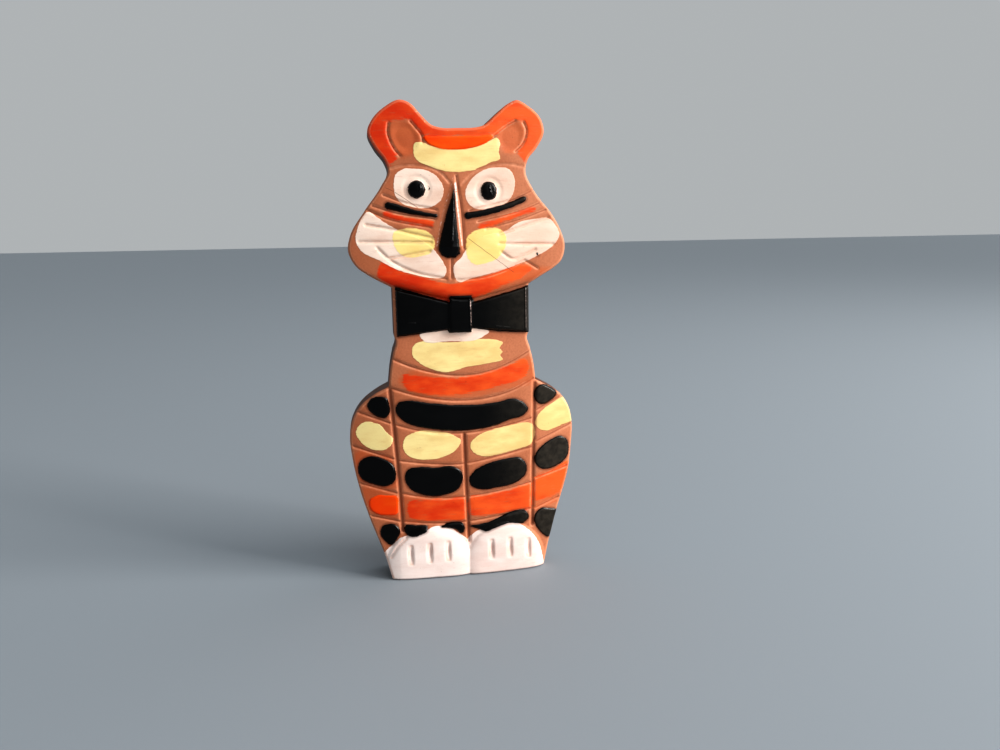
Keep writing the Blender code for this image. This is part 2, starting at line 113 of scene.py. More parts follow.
# Carved lines of the face
FACE_GROOVES = [
    [(-33.1, 228.9), (-33.6, 224.9), (-32.6, 220.9), (-30.9, 217.3), (-28.2, 214.1)],
    [(-23, 229.8), (-19.9, 226.1), (-17.9, 223.6), (-17.4, 220.4)],
    [(16.4, 223.3), (19.8, 225.9), (24.3, 228.9), (27, 230.3)],
    [(31, 229.8), (32.5, 226.3), (31.9, 222.6), (30.1, 219.3), (26.9, 216.3)],
    [(-36.8, 196.4), (-28.5, 193.1), (-12, 189.2)],
    [(-42, 191.4), (-34, 188.7), (-13, 185)],
    [(-44.4, 189.4), (-36, 185.6), (-15, 181)],
    [(36.6, 198.6), (27, 194.4), (4, 188.8)],
    [(41.2, 193), (31, 189), (8, 183.5)],
    [(42, 188.8), (33, 185.6), (12, 180)],
    [(-45.6, 182.7), (-32.4, 180.2), (-14.5, 176)],
    [(-49.1, 174.8), (-15, 174)],
    [(-35.8, 166.7), (-24.7, 168.3), (-15.6, 169.9)],
    [(18.5, 177.4), (31.7, 181.4), (43.4, 185.1)],
    [(18.5, 172.8), (46, 172.1)],
    [(19.5, 168.6), (25.6, 165.1), (29.9, 166.6), (36.7, 169.7)],
    [(-40.7, 171.7), (-35, 166.1), (-23.4, 160), (-8.3, 156.4)],
    [(-2.9, 155.6), (10.1, 156.7), (21, 159.8), (30.9, 164.5)],
    [(30.9, 164.5), (37.7, 160.4)],
    [(-5.4, 165.8), (-5.6, 156.7)],
    [(-2.2, 205), (-1.1, 197), (-0.2, 190.4), (0.7, 176), (0.9, 170.6)],
]
BROWS = [
    [(-33, 208.3), (-27, 209.6), (-17.1, 209.2), (-9.3, 206.1), (-5.6, 201.9)],
    [(30.8, 209.3), (22.3, 210.4), (14.1, 209.1), (5.6, 205.8), (0.4, 200.8)],
]

# Carved rows of the coat, each in runs over the left haunch, the body and the right haunch
COAT_ROWS = [
    [[(-35.4, 117), (-25, 112.5), (-12.7, 109), (-1, 107.6), (12.6, 109.2), (23, 112.7), (34, 118.4)]],
    [[(-36.8, 102.3), (-25.5, 98.5), (-13.1, 95.8), (-1.4, 94.6), (12.3, 95.4), (24.6, 98.4),
      (35.8, 103.7)]],
    [[(-54, 90.4), (-38.4, 84.5)],
     [(-36, 83.6), (-26.1, 80.6), (-1.8, 77.5), (18, 79.4), (34.3, 82.8)],
     [(37.2, 86.8), (52, 93.6)]],
    [[(-57.1, 72.5), (-37.4, 65.6)],
     [(-34.3, 64.5), (-19.2, 62.2), (-2.2, 61.1), (11.8, 63), (34.2, 67.1)],
     [(37, 70), (56.9, 77.3)]],
    [[(-54.6, 52.7), (-36.4, 47.2)],
     [(-34.1, 46.9), (-18.1, 43.7), (-0.9, 43.1), (15, 44.6), (34.1, 47.9)],
     [(36.9, 50), (54.6, 54.2)]],
    [[(-49.6, 35), (-35.6, 31.8)],
     [(-33, 31.6), (-18.5, 29.8), (-1.2, 29.4), (15.7, 30.9), (33.6, 33.2)],
     [(36, 33), (49.8, 37.4)]],
]

# Lines down the coat: both haunch seams and the seam between the forelegs
COAT_SEAMS = [
    [(-37.8, 102.5), (-36.7, 86.2), (-35.7, 68.7), (-34.8, 50.9), (-34.1, 26.5)],
    [(-1, 77), (-0.5, 48.8), (0, 30.5), (0.3, 18)],
    [(36.6, 103), (36.1, 81.8), (35.4, 54.6), (34.8, 24)],
]

# The paws' toe lines and the fold on the left paw
TOE_LINES = [[(x, top), (x, top - 9.5)] for x, top in
             [(-30.6, 18.4), (-20.8, 19.2), (-11.2, 19.4), (11.8, 18.4), (21.8, 18.6), (31.9, 16.8)]]
PAW_FOLD = [(-32.2, 23), (-36.8, 18.4), (-40.6, 12.6)]
SEAM_PLACE = 36              # the haunches begin this far from the middle line

# Nose, eyes, paws, bow tie and chin
NOSE_TOP, NOSE_BASE, NOSE_CHIN = (-2.8, 205.5), (-6.5, 171.4), (-6.0, 166.4)
NOSE_HALF_WIDTH, NOSE_FLANK = 6.4, 1.5
NOSE_SPREAD, NOSE_CREST, NOSE_SHOULDER, NOSE_CHIN_SHARE = 0.75, 0.2, 0.8, 0.5
NOSE_LIP = (0.25, 0.3, 0.6)  # height, place over the base, and width
EARS = [((-25.6, 222.5), 0.35), ((24.6, 223), -0.35)]        # centre and tilt
EAR_RADII = (7, 8.5)
PUPILS = [(-21.1, 198.8), (13.5, 197.9)]
PUPIL_RADIUS, EYE_RING_RADIUS = 4.1, 6.0
PAWS = [((-20.6, 5.5), (22.6, 22.4)), ((20, 4.5), (21.6, 22.6))]
BOW_HALF_LENGTH, BOW_TOP, BOW_FOOT = 32.8, (142.9, 151.6), (132.2, 128.7)
KNOT_LEFT, KNOT_RIGHT, KNOT_FOOT, KNOT_TOP = -7.2, 3.9, 129.8, 147.2
PINCH_MIDDLE, PINCH_PLACE, PINCH_WIDTH, PINCH_DEPTH = -1.6, 5.5, 7, 0.5
EDGE_SLACK = 0.1
CHIN_LOW, CHIN_SLOPE, CHIN_ROUND = 145.6, 0.27, 6

# Painted patches: closed loops, and strokes given by a middle line and its half width at both ends
WASH_LOOPS = [
    # inside the ears and between them
    [(-32.6, 229), (-28, 230), (-23, 229.6), (-20, 226), (-18.2, 223), (-20, 218), (-23, 214.5),
     (-27.5, 213.8), (-30.3, 217), (-32.2, 221), (-33.2, 225)],
    [(18, 223.6), (24, 228.8), (27.3, 230.2), (31, 229.6), (32, 226), (31.5, 222.6), (29.8, 219.3),
     (26, 215.5), (21, 216), (19.6, 219)],
    # chin, chest and coat
    [(0, 150), (14, 158), (28, 163), (36, 161), (46, 160), (40, 156), (30, 153.5), (14, 149.5)],
    [(-33, 107), (-28, 110.4), (-4, 106), (20, 110), (38, 116), (38, 104), (20, 99), (-4, 95.6),
     (-28, 100)],
    [(-53.5, 50), (-46, 49.6), (-36.4, 46.6), (-35.4, 34), (-38, 32.6), (-46.5, 34.4), (-50, 37),
     (-54, 44)],
    [(36.5, 51.4), (46, 54), (58, 57), (56, 40), (50, 35), (44, 33), (36.4, 31.5)],
    [(-33.6, 45), (-18, 43), (-1.6, 42.8), (-1.4, 30), (-18, 30.4), (-33, 32)],
    [(-55, 70), (-46, 68.6), (-38, 66), (-37.6, 60), (-36.6, 50), (-40, 49), (-52, 52), (-58, 60)],
]
ORANGE_LOOPS = [
    [(-15, 223.2), (-8, 222.8), (0, 223), (8, 223), (15, 223.3), (13, 228), (8, 232), (0, 234), (-8, 232),
     (-13, 228)],
    [(-34.5, 208.6), (-31.2, 211.6), (-29.6, 214.4), (-31, 217.3), (-32.8, 220.9), (-33.8, 224.9),
     (-33.1, 229), (-28, 230.3), (-23, 230), (-19.9, 226.3), (-17.8, 223.4), (-15, 223.6), (-11.5, 226),
     (-9, 230), (-16, 240), (-30, 252), (-62, 250), (-62, 205), (-37, 206)],
    [(11.5, 225.6), (15, 223.8), (17.5, 223.8), (19.8, 226), (24.3, 229.2), (27.5, 230.8), (31.2, 230),
     (32.6, 226.3), (32.1, 222.6), (30.3, 219.3), (27.8, 216), (29.8, 213.5), (33, 210), (60, 209),
     (60, 250), (30, 252), (15, 240), (8.5, 230)],
    [(-39.6, 164.6), (-28.9, 160.3), (-16.3, 156.4), (-5.1, 154.1), (12.3, 158.1), (23.2, 161.5),
     (29.2, 162.9), (35, 160.6), (31, 157), (20, 152.6), (9, 147.6), (-0.2, 145), (-8.4, 144.6),
     (-20.5, 147.6), (-32.4, 152), (-41, 158.6)],
    [(-30.5, 108.7), (-25.9, 108.8), (-14.4, 107), (-4.4, 106.4), (5.7, 107.4), (16, 109.4), (24.8, 112),
     (31.4, 114.4), (33.4, 111), (32, 105.9), (27.3, 103.6), (15.9, 100.9), (5.5, 98.9), (-3.8, 97.7),
     (-14.7, 98.3), (-23, 99.6), (-28.5, 101.6), (-30.8, 105)],
    [(-30.5, 42), (-23.3, 42.6), (-11.3, 42.4), (-1.9, 42.2), (-1.5, 36.3), (-1.7, 31), (-11.6, 31),
     (-23.7, 32), (-29.6, 33.6), (-31.3, 38.3)],
    [(1.5, 42.4), (10.5, 43.2), (22.2, 44.6), (34.5, 46.6), (35, 40), (34.3, 33.5), (26.6, 32.3),
     (14.8, 32.1), (5.9, 31.9), (1.4, 32.8)],
    [(36.6, 49.8), (44.2, 52), (57, 56.4), (57, 50.8), (53, 41.7), (45, 38.5), (36.6, 37.5)],
]
ORANGE_STROKES = [
    ([(-36.1, 187.2), (-29.6, 185.5), (-23.4, 183.9), (-14.8, 183)], 1.5, 1.4),
    ([(9.4, 181.2), (16.7, 183.1), (25, 185.8), (35.8, 189.3)], 1.3, 1.2),
]
RED_LOOPS = [
    [(-17.3, 222.4), (-11.1, 222.9), (-1.8, 223.1), (7.7, 223.2), (16.4, 223.2), (12.8, 220.2),
     (4.6, 217.6), (-1.9, 216.9), (-9.7, 217.4), (-15.1, 219.6)],
    [(-50.2, 43.9), (-46, 46.1), (-40.9, 46.1), (-36.3, 45.3), (-35.9, 40.3), (-36.7, 36), (-41.4, 35.3),
     (-46.4, 35.9), (-49.6, 38)],
]
CREAM_LOOPS = [
    [(-21, 220), (-22, 216.4), (-20.9, 212.6), (-16, 209.9), (-9.8, 207.6), (-1.8, 206.7), (6.2, 207.6),
     (14.4, 211), (19.3, 213), (18.6, 216), (19.4, 220.3), (18, 222.4), (14.6, 221.2), (9.7, 218.9),
     (1.6, 217.1), (-6.3, 217.2), (-14.1, 218.8), (-18.3, 220.3)],
    [(-25.9, 120.9), (-24.6, 124.2), (-20.4, 125.7), (-10, 124.8), (1.1, 124.9), (8.6, 125.8),
     (15.4, 125.1), (19.9, 123.3), (18.2, 120.6), (19.6, 118.6), (18.4, 117), (19.8, 115.2),
     (12.7, 113.3), (0.7, 111.8), (-8.5, 109.5), (-15.9, 111.2), (-22.4, 114.9), (-25.6, 118.4)],
    [(-55.3, 80.5), (-52.4, 84.5), (-46.6, 85), (-43, 83.4), (-40.4, 80), (-37, 75.8), (-39.8, 71.5),
     (-44.9, 70.2), (-51.3, 72.7)],
    [(-32.3, 72.1), (-30.4, 77.3), (-25.3, 79.3), (-13.6, 78.9), (-6.9, 76.9), (-2.7, 73.6), (-5.4, 68.9),
     (-12.3, 65.3), (-19.2, 64.4), (-27.5, 65.7), (-31.2, 68.5)],
    [(2, 71.1), (5.9, 75.5), (14.7, 78.4), (23.5, 79.9), (33, 80.6), (35, 79.8), (35.1, 69.4),
     (26.1, 66.4), (15.4, 64.4), (8.3, 64.4), (3.1, 67.5)],
    [(36.7, 79.8), (37.9, 83.4), (41.3, 86.9), (46.4, 89.8), (52, 92.4), (57.5, 92), (62, 84), (61, 79.4),
     (56.6, 78.3), (51.6, 77.2), (47.6, 76.1), (42.9, 75.2), (39, 76.5)],
]
WHITE_LOOPS = [
    # eyes
    [(-31.6, 201.9), (-30.6, 205.7), (-27.8, 207.9), (-22.4, 208.3), (-16.2, 207.5), (-11.6, 204.8),
     (-9, 201), (-8.3, 197.9), (-9.6, 194.1), (-13.6, 191), (-18.4, 190.1), (-23.1, 190.7),
     (-28.5, 192.7), (-31, 195.8)],
    [(2, 196.3), (3.3, 200.9), (6.7, 204.8), (11.6, 207.8), (18.1, 208.8), (23.8, 207.8), (26.1, 204),
     (26.2, 199.3), (24.9, 195.4), (21.1, 191.5), (16.2, 190.3), (9.6, 189.1), (4.7, 190.8), (2.4, 194)],
    # muzzle
    [(-43.8, 188.7), (-50.1, 179.1), (-50.7, 175.2), (-48.9, 171.3), (-39.8, 165.7), (-32.1, 161.5),
     (-24.2, 159), (-15.5, 157.2), (-9.2, 157.5), (-8.1, 161), (-9.5, 164.5), (-12.7, 169.1),
     (-14.6, 171.5), (-22, 176.5), (-32.8, 181.2), (-38.9, 185.2)],
    [(21.3, 178.8), (27.7, 182.7), (37.9, 184.6), (43.1, 184.9), (47.5, 180.8), (49.2, 176.7),
     (46.6, 171.9), (40.4, 167.9), (30.9, 163.7), (20.7, 160.3), (12.3, 158.1), (3.9, 156.3),
     (-2.6, 154.9), (-4.2, 157.7), (-4.5, 162.5), (-0.7, 166.5), (3, 172), (12, 177)],
    # under the bow tie
    [(-21.9, 128.4), (-20.4, 126.2), (-8.1, 125.4), (9.5, 126.8), (13, 129.4), (8.7, 131.5), (0, 131),
     (-12, 130.5)],
]
PAW_LOOPS = [
    [(-46, 10), (-43, 16), (-39.4, 19.3), (-36.1, 22.3), (-32, 24.1), (-26.9, 24.5), (-21.4, 26.9),
     (-16, 28.1), (-9.1, 26.4), (-5.9, 24.1), (0, 18.4), (0, 4), (-0.3, -8), (-46, -8)],
    [(-0.2, 19.3), (2.9, 22.8), (8.6, 24.9), (13.2, 26.1), (19.4, 27.2), (25.7, 26.5), (32, 22.2),
     (36.3, 17.3), (38.8, 12.1), (40.1, 7), (42, -8), (-0.5, -8), (-0.4, 4)],
]
YELLOW_LOOPS = [
    [(-32.6, 178.9), (-27.4, 180.7), (-20.3, 180.2), (-14.9, 177.8), (-13.2, 174.2), (-15.9, 168.8),
     (-21.5, 167.3), (-28.6, 167.8), (-31.7, 171)],
    [(1.9, 172.8), (2.8, 176.7), (6.9, 179.4), (12.7, 180.3), (19.3, 179.6), (21.3, 177.2), (20.8, 170),
     (17.4, 166), (10.7, 163.4), (5.8, 163), (3, 165.6), (1.8, 169.6)],
]
BLACK_LOOPS = [
    # long band over the forelegs
    [(-35.2, 91.2), (-33.8, 94.8), (-29.5, 95.8), (-18.2, 94.1), (-4.8, 92.4), (7.1, 92), (15.8, 92.6),
     (26.3, 93.8), (30, 92), (32.8, 87.5), (31.4, 85.6), (22.6, 82.9), (15.6, 80.6), (6.8, 79.2),
     (-3.5, 78.8), (-15.3, 80.2), (-24.4, 82.2), (-31, 85)],
    # left haunch
    [(-49.1, 93.5), (-47.6, 96.8), (-43.6, 98.3), (-39.6, 97.6), (-38.1, 93.2), (-38.2, 89.8),
     (-40, 87.6), (-43.3, 87.5), (-47.2, 90.1)],
    [(-55.4, 59.4), (-53.6, 64.9), (-49.2, 67.1), (-42.6, 65.8), (-38, 62.8), (-36.4, 58.3),
     (-37.2, 53.8), (-41.5, 51.2), (-48.2, 52.3), (-53.6, 55.2)],
    [(-45.6, 25.1), (-44.2, 29.4), (-38.2, 30.3), (-35.4, 26.5), (-36.8, 22.9), (-40.4, 18.9),
     (-43.6, 21.4)],
    # forelegs
    [(-31.9, 55.3), (-30.5, 59.4), (-25.2, 60.7), (-15.9, 60), (-7.4, 60.1), (-3, 57.2), (-2.5, 51.8),
     (-5.1, 47.5), (-11.2, 45.1), (-18.1, 44.5), (-24.9, 46.5), (-30.2, 50.2)],
    [(1.1, 52.4), (3.8, 56.7), (11.7, 60.5), (20.6, 62), (28.7, 61.7), (31.8, 57.8), (31.4, 53),
     (24.9, 48.3), (15.9, 46.8), (7.1, 46.6), (1.9, 49.2)],
    # right haunch
    [(36.3, 95.5), (37.4, 98.6), (40.6, 100.3), (44.5, 99), (48.8, 95), (46.8, 92), (44.5, 90.6),
     (41.4, 89.7), (38.3, 90.7)],
    [(36.2, 60.3), (37.4, 64), (41.3, 67.8), (46.4, 70.4), (50.3, 71.4), (54, 70), (55.8, 66.3),
     (55.6, 61.2), (53.6, 58), (49.2, 55.4), (43.6, 54.1), (38.9, 55.4)],
    [(35.8, 27.2), (37.1, 30.6), (40.2, 32.5), (44.5, 31.8), (49.5, 30), (48, 22), (43.6, 15.5),
     (41, 17.4), (37.6, 21.8)],
    # over the paws
    [(-33, 29), (-26.7, 29.3), (-21.3, 28), (-21.6, 26.4), (-25, 24.6), (-30.5, 23.7), (-32.9, 25.4)],
    [(-14.3, 27.6), (-9.6, 29.4), (-2.8, 28.4), (-1.9, 25.2), (-3.4, 23.2), (-6.9, 25.7)],
    [(1.2, 26.5), (9.4, 27.7), (17.7, 30.4), (25.3, 33), (31.2, 32.1), (32.9, 28.5), (30.3, 25.9),
     (21.8, 26.6), (13.5, 24.6), (9.3, 23.3), (4.4, 25.2)],
]
BLACK_STROKES = [
    ([(-34.6, 191.4), (-30.9, 190.5), (-25.5, 189), (-18.5, 187.5), (-12.3, 186.6)], 1.7, 0.8),
    ([(2.9, 186.4), (8.6, 187.2), (16.8, 189.1), (25.1, 191.6), (30.8, 194)], 1.5, 1.3),
    ([(-21.1, 198.85), (-21.1, 198.75)], 4.1, 4.1),
    ([(13.5, 198.4), (13.5, 197.4)], 3.9, 3.9),
    # A thin black arc on the ring right of the left pupil: painted shade in the ring's groove
    ([(-15.6, 200.8), (-15, 199.4), (-15.4, 197.9)], 0.18, 0.15),
    ([(37.6, 167.6), (37.9, 167.1)], 0.5, 0.4),
]
# Sharp-cornered black: the nose, and the bow tie with its knot
BLACK_CORNERED = [
    [(-3.2, 200.5), (-4.4, 195.9), (-7, 188.4), (-9.9, 178.2), (-11.4, 172.2), (-11.4, 170.6),
     (-10.3, 168.1), (-7.7, 166.6), (-3.5, 166.5), (-1.2, 168.3), (-1.3, 170.6), (-1.7, 172),
     (-2.1, 176.3), (-2.7, 185), (-3, 190.4), (-3.1, 196.9)],
    [(-32.9, 153), (-6.8, 144.8), (-6.8, 147.9), (4, 147.9), (5.6, 144.6), (26.1, 149.8), (36, 152.6),
     (36, 127.9), (18, 129.2), (4.2, 131.4), (3.9, 129.3), (-7.4, 129.5), (-7.8, 131.1), (-20.1, 129.8),
     (-32.9, 128.3)],
]
# Pale clay: where the paint has come away on the nose's left edge, and painted highlights on its steep
# side, on the ledge at its foot, on the knot's right edge and on the bow tie's right end
WORN_AND_HIGHLIGHT_STROKES = [
    ([(-3.6, 204.4), (-4.9, 200), (-8.6, 188.5), (-11.1, 178.2), (-12.3, 172.2)], 0.05, 0.2),
    ([(-2.7, 201.5), (-2.3, 196.9), (-1.9, 190.4), (-1.3, 185), (-0.5, 176.3), (0.0, 172.4)], 0.5, 0.35),
    ([(-12, 171.2), (-1.4, 171)], 0.0, -0.05),
    ([(3.4, 145.4), (3.6, 133)], 0.22, 0.05),
    ([(31.7, 150.4), (31.8, 131)], 0.08, 0.0),
]
# Where the glaze stands in thick ridges: on the pupils, the nose's crest, the knot and the bow tie
RIDGE_STROKES = [
    ([(-19.6, 200.6), (-19.3, 199.3), (-19.9, 197.6)], 0.35, 0.2),
    ([(13.7, 200), (14, 198.5), (14.6, 196.1)], 0.25, 0.25),
    ([(15.6, 199.2), (15.9, 197.4)], 0.15, 0.1),
    ([(-3.7, 194.5), (-4, 188.4), (-4.5, 181.5), (-5, 174.6)], 0.1, 0.15),
    ([(3.2, 145.7), (3.3, 131.6)], 0.5, 0.4),
    ([(31.6, 151), (31.7, 129.4)], 0.3, 0.4),
    ([(-27.5, 135.1), (-23.9, 135.2)], 0.1, 0.0),
    ([(16, 132.2), (23.3, 131.1)], 0.0, 0.1),
]
PAINT_BACK = 0.4             # painted patches end this far behind the front's rim
PAINT_REACH = 4.0            # distances to a patch's edge are kept up to this

# Fine cracks in the paint, as straight runs
CRACKS = [((-35.8, 199.8), (-31.5, 197.8)), ((-31.5, 197.8), (-20.6, 190.3)), ((2.9, 175.7), (25.8, 158.4))]


def array(points):
    return np.array(points, float)


def even_steps(line, step):
    """The same line, cut into even steps of about the given length."""
    run = np.concatenate([[0], np.cumsum(np.linalg.norm(np.diff(line, axis=0), axis=1))])
    stations = np.linspace(0, run[-1], max(1, round(run[-1] / step)) + 1)
    return np.stack([np.interp(stations, run, line[:, i]) for i in range(2)], axis=1)


def smooth_line(points, step):
    """A smooth curve through the points, in even steps."""
    knots = array(points)
    if len(knots) == 2:
        return even_steps(knots, step)
    t = np.concatenate([[0], np.cumsum(np.linalg.norm(np.diff(knots, axis=0), axis=1))])
    slope = np.gradient(knots, t, axis=0)
    fine = []
    for i in range(len(knots) - 1):
        span = t[i + 1] - t[i]
        u = np.linspace(0, 1, CURVE_PARTS, endpoint=False)[:, None]
        fine.append((2 * u**3 - 3 * u**2 + 1) * knots[i] + (3 * u**2 - 2 * u**3) * knots[i + 1]
                    + span * ((u**3 - 2 * u**2 + u) * slope[i] + (u**3 - u**2) * slope[i + 1]))
    return even_steps(np.concatenate(fine + [knots[-1:]]), step)


def smooth_loop(points, step):
    """A smooth closed curve through the points."""
    around = smooth_line([*points[-3:], *points, *points[:3]], step)
    middle = len(around) // 2
    away = np.linalg.norm(around - array(points[0]), axis=1)
    return around[np.argmin(away[:middle]):middle + np.argmin(away[middle:])]


def outline_side(stretches, step):
    """One side of the outline from the top down; straight lines join stretches that don't touch."""
    parts = [smooth_line(stretches[0], step)]
    for above, below in zip(stretches[:-1], stretches[1:]):
        parts.append(even_steps(array([above[-1], below[0]]), step)[1:-1])
        parts.append(smooth_line(below, step)[int(above[-1] == below[0]):])
    return np.concatenate(parts)


def outline_loop(step, foot=0.0):
    """The whole outline, clockwise from the top; foot moves the base edge down from the floor."""
    right = outline_side([HEAD_RIGHT, CHEST_RIGHT, HAUNCH_RIGHT], step)
    left = outline_side([HEAD_LEFT, CHEST_LEFT, HAUNCH_LEFT], step)[:0:-1] * [-1, 1]
    base = np.array([right[-1], left[0]])
    if foot:
        return np.concatenate([right, base - [0, foot], left])
    return np.concatenate([right, even_steps(base, step)[1:-1], left])


def inward(loop):
    """The way in from each point of a clockwise loop, one unit long."""
    ahead = np.roll(loop, -1, axis=0) - np.roll(loop, 1, axis=0)
    return np.stack([ahead[:, 1], -ahead[:, 0]], axis=1) / np.linalg.norm(ahead, axis=1)[:, None]


def near(points, line, reach):
    """Which points lie in the line's box, widened by the reach."""
    return np.all((points > line.min(axis=0) - reach) & (points < line.max(axis=0) + reach), axis=1)


def line_distance(points, line):
    """Distance of each point to an open line, kept up to LINE_REACH."""
    nearest = np.full(len(points), LINE_REACH)
    for first in range(0, len(line) - 1, LINE_RUN):
        run = line[first:first + LINE_RUN + 1]
        beside = np.flatnonzero(near(points, run, LINE_REACH))
        close, best = points[beside], nearest[beside]
        for start, end in zip(run[:-1], run[1:]):
            along = end - start
            share = np.clip((close - start) @ along / (along @ along), 0, 1)
            best = np.minimum(best, np.linalg.norm(close - start - share[:, None] * along, axis=1))
        nearest[beside] = best
    return nearest


def depth_inside(points, loop):
    """Distance of each point to a closed loop, below zero outside it."""
    closed = np.concatenate([loop, loop[:1]])
    crossings = np.zeros(len(points), int)
    for first in range(0, len(loop), LINE_RUN):
        run = closed[first:first + LINE_RUN + 1]
        level = np.flatnonzero((points[:, 1] >= run[:, 1].min()) & (points[:, 1] <= run[:, 1].max()))
        x, z = points[level].T
        for (x0, z0), (x1, z1) in zip(run[:-1], run[1:]):
            if z0 != z1:
                crossings[level] += ((z0 > z) != (z1 > z)) & (x < x0 + (z - z0) * (x1 - x0) / (z1 - z0))
    return np.where(crossings % 2 == 1, 1, -1) * line_distance(points, closed)


def rounding(distance, radius):
    """How far a quarter-round edge falls below its face, at a distance in from the edge."""
    short = radius - np.clip(distance, 0, radius)
    return radius - np.sqrt(radius**2 - short**2)


def ease(value):
    """A smooth step from 0 to 1."""
    share = np.clip(value, 0, 1)
    return share * share * (3 - 2 * share)


def waves(points, length, seed):
    """Gentle random swells of about the given length, between -1 and 1."""
    chance = np.random.default_rng(seed)
    total = np.zeros(len(points))
    for _ in range(SWELLS):
        turn, phase = chance.uniform(0, 2 * math.pi, 2)
        pace = 2 * math.pi / (length * chance.uniform(0.7, 1.5))
        total += np.sin(pace * (points[:, 0] * math.cos(turn) + points[:, -1] * math.sin(turn)) + phase)
    return total / 4


def chin_line(x):
    """Height of the head's lower edge."""
    return CHIN_LOW + CHIN_SLOPE * (np.hypot(x, CHIN_ROUND) - CHIN_ROUND)


def bow_edges(x):
    """Upper and lower edge of the bow tie's wings."""
    share = np.abs(x) / BOW_HALF_LENGTH
    return [edge[0] + (edge[1] - edge[0]) * share for edge in (BOW_TOP, BOW_FOOT)]


def bow_height(points, face):
    """Front of the bow tie, or minus infinity where there is none."""
    x, z = points.T
    top, foot = bow_edges(x)
    wing = np.min([top - z, z - foot, BOW_HALF_LENGTH - np.abs(x)], axis=0)
    knot = np.min([x - KNOT_LEFT, KNOT_RIGHT - x, z - KNOT_FOOT, KNOT_TOP - z], axis=0)
    pinch = PINCH_DEPTH * np.exp(-((np.abs(x - PINCH_MIDDLE) - PINCH_PLACE) / PINCH_WIDTH)**2)
    wings = np.where(wing > -EDGE_SLACK, face + BOW_RAISE - pinch - rounding(wing, BOW_RADIUS), -np.inf)
    front = face + BOW_RAISE + KNOT_RAISE
    knots = np.where(knot > -EDGE_SLACK, front - rounding(knot, BOW_RADIUS), -np.inf)
    return np.maximum(wings, knots)


def nose_height(points):
    """Height of the nose over the face."""
    x, z = points.T
    spread = np.clip((NOSE_TOP[1] - z) / (NOSE_TOP[1] - NOSE_BASE[1]), 0, 1)**NOSE_SPREAD
    under = np.clip((NOSE_BASE[1] - z) / (NOSE_BASE[1] - NOSE_CHIN[1]), 0, 1)
    half = NOSE_HALF_WIDTH * spread * (1 - (1 - NOSE_CHIN_SHARE) * under) + 0.01
    across = (x - NOSE_TOP[0] - (NOSE_BASE[0] - NOSE_TOP[0]) * spread) / half
    left = (across + 1) / (NOSE_CREST + 1)
    right = 1 - (1 - NOSE_SHOULDER) * (across - NOSE_CREST) / (1 - NOSE_CREST)
    flank = (1 - across) * half / NOSE_FLANK
    shape = np.clip(np.min([left, right, flank], axis=0), 0, 1)
    lip_height, lip_place, lip_width = NOSE_LIP
    lip = lip_height * np.exp(-((z - NOSE_BASE[1] - lip_place) / lip_width)**2)
    return (NOSE_RAISE * spread * (1 - under) + lip) * shape


def paw_height(points):
    """Height of the paws over the forelegs."""
    height = np.zeros(len(points))
    for centre, radii in PAWS:
        reach = np.linalg.norm((points - array(centre)) / array(radii), axis=1)
        height = np.maximum(height, np.sqrt(np.clip(1 - reach**4, 0, 1)))
    return PAW_RAISE * height


def eye_height(points):
    """Height of the pupils, and below zero in the ring round each."""
    height = np.zeros(len(points))
    for centre in PUPILS:
        reach = np.linalg.norm(points - array(centre), axis=1)
        height += PUPIL_RAISE * np.sqrt(np.clip(1 - (reach / PUPIL_RADIUS)**2, 0, 1))
        height -= EYE_RING[1] * ease(1 - np.abs(reach - EYE_RING_RADIUS) / EYE_RING[0])
    return height


def ear_height(points):
    """The ears' hollows, below zero between the carved lines of each ear."""
    height = np.zeros(len(points))
    for centre, tilt in EARS:
        x, z = (points - array(centre)).T
        across = (x * math.cos(tilt) + z * math.sin(tilt)) / EAR_RADII[0]
        up = (z * math.cos(tilt) - x * math.sin(tilt)) / EAR_RADII[1]
        height -= EAR_SINK * ease(2 * (1 - np.hypot(across, up)))
    return height


def grooves():
    """Every carved line, with its width and depth."""
    for line in COAT_SEAMS:
        yield smooth_line(line, LINE_STEP), *SEAM_GROOVE
    for line in [run for row in COAT_ROWS for run in row]:
        yield smooth_line(line, LINE_STEP), *ROW_GROOVE
    for line in FACE_GROOVES + [PAW_FOLD]:
        yield smooth_line(line, LINE_STEP), *FACE_GROOVE
    for line in BROWS:
        yield smooth_line(line, LINE_STEP), *BROW_GROOVE


def groove_depth(points):
    """How deep the carved lines cut at each point: a V with soft shoulders."""
    depth = np.zeros(len(points))
    soft, spread = GROOVE_SHOULDER
    for line, width, deepest in grooves():
        beside = np.flatnonzero(near(points, line, 2 * width))
        away = line_distance(points[beside], line) / (width / 2)
        cut = (1 - soft) * np.clip(1 - away, 0, 1)**GROOVE_BEND + soft * np.exp(-away**2 / spread)
        depth[beside] = np.maximum(depth[beside], deepest * cut)
    return np.maximum(depth, toe_depth(points))


def toe_depth(points):
    """The toes' scoops, each gentle on its left side and steep on its right."""
    depth = np.zeros(len(points))
    gentle, steep, deepest = TOE_SCOOP
    for (x, top), (_, foot) in TOE_LINES:
        beside = points[:, 0] - x - TOE_SHIFT
        across = np.where(beside < 0, 1 + beside / gentle, 1 - beside / steep)
        along = np.clip((points[:, 1] - foot + TOE_OVERRUN) / (top - foot + 2 * TOE_OVERRUN), 0, 1)
        depth = np.maximum(depth, deepest * ease(across) * np.sin(math.pi * along)**0.5)
    return depth


def edge_rounding(points, radius):
    """How far the rounded rim falls back; the base edge has a smaller round of its own."""
    rim = depth_inside(points, outline_loop(LINE_STEP, foot=3 * radius))
    return np.maximum(rounding(rim, radius), rounding(points[:, 1], BASE_RADIUS))


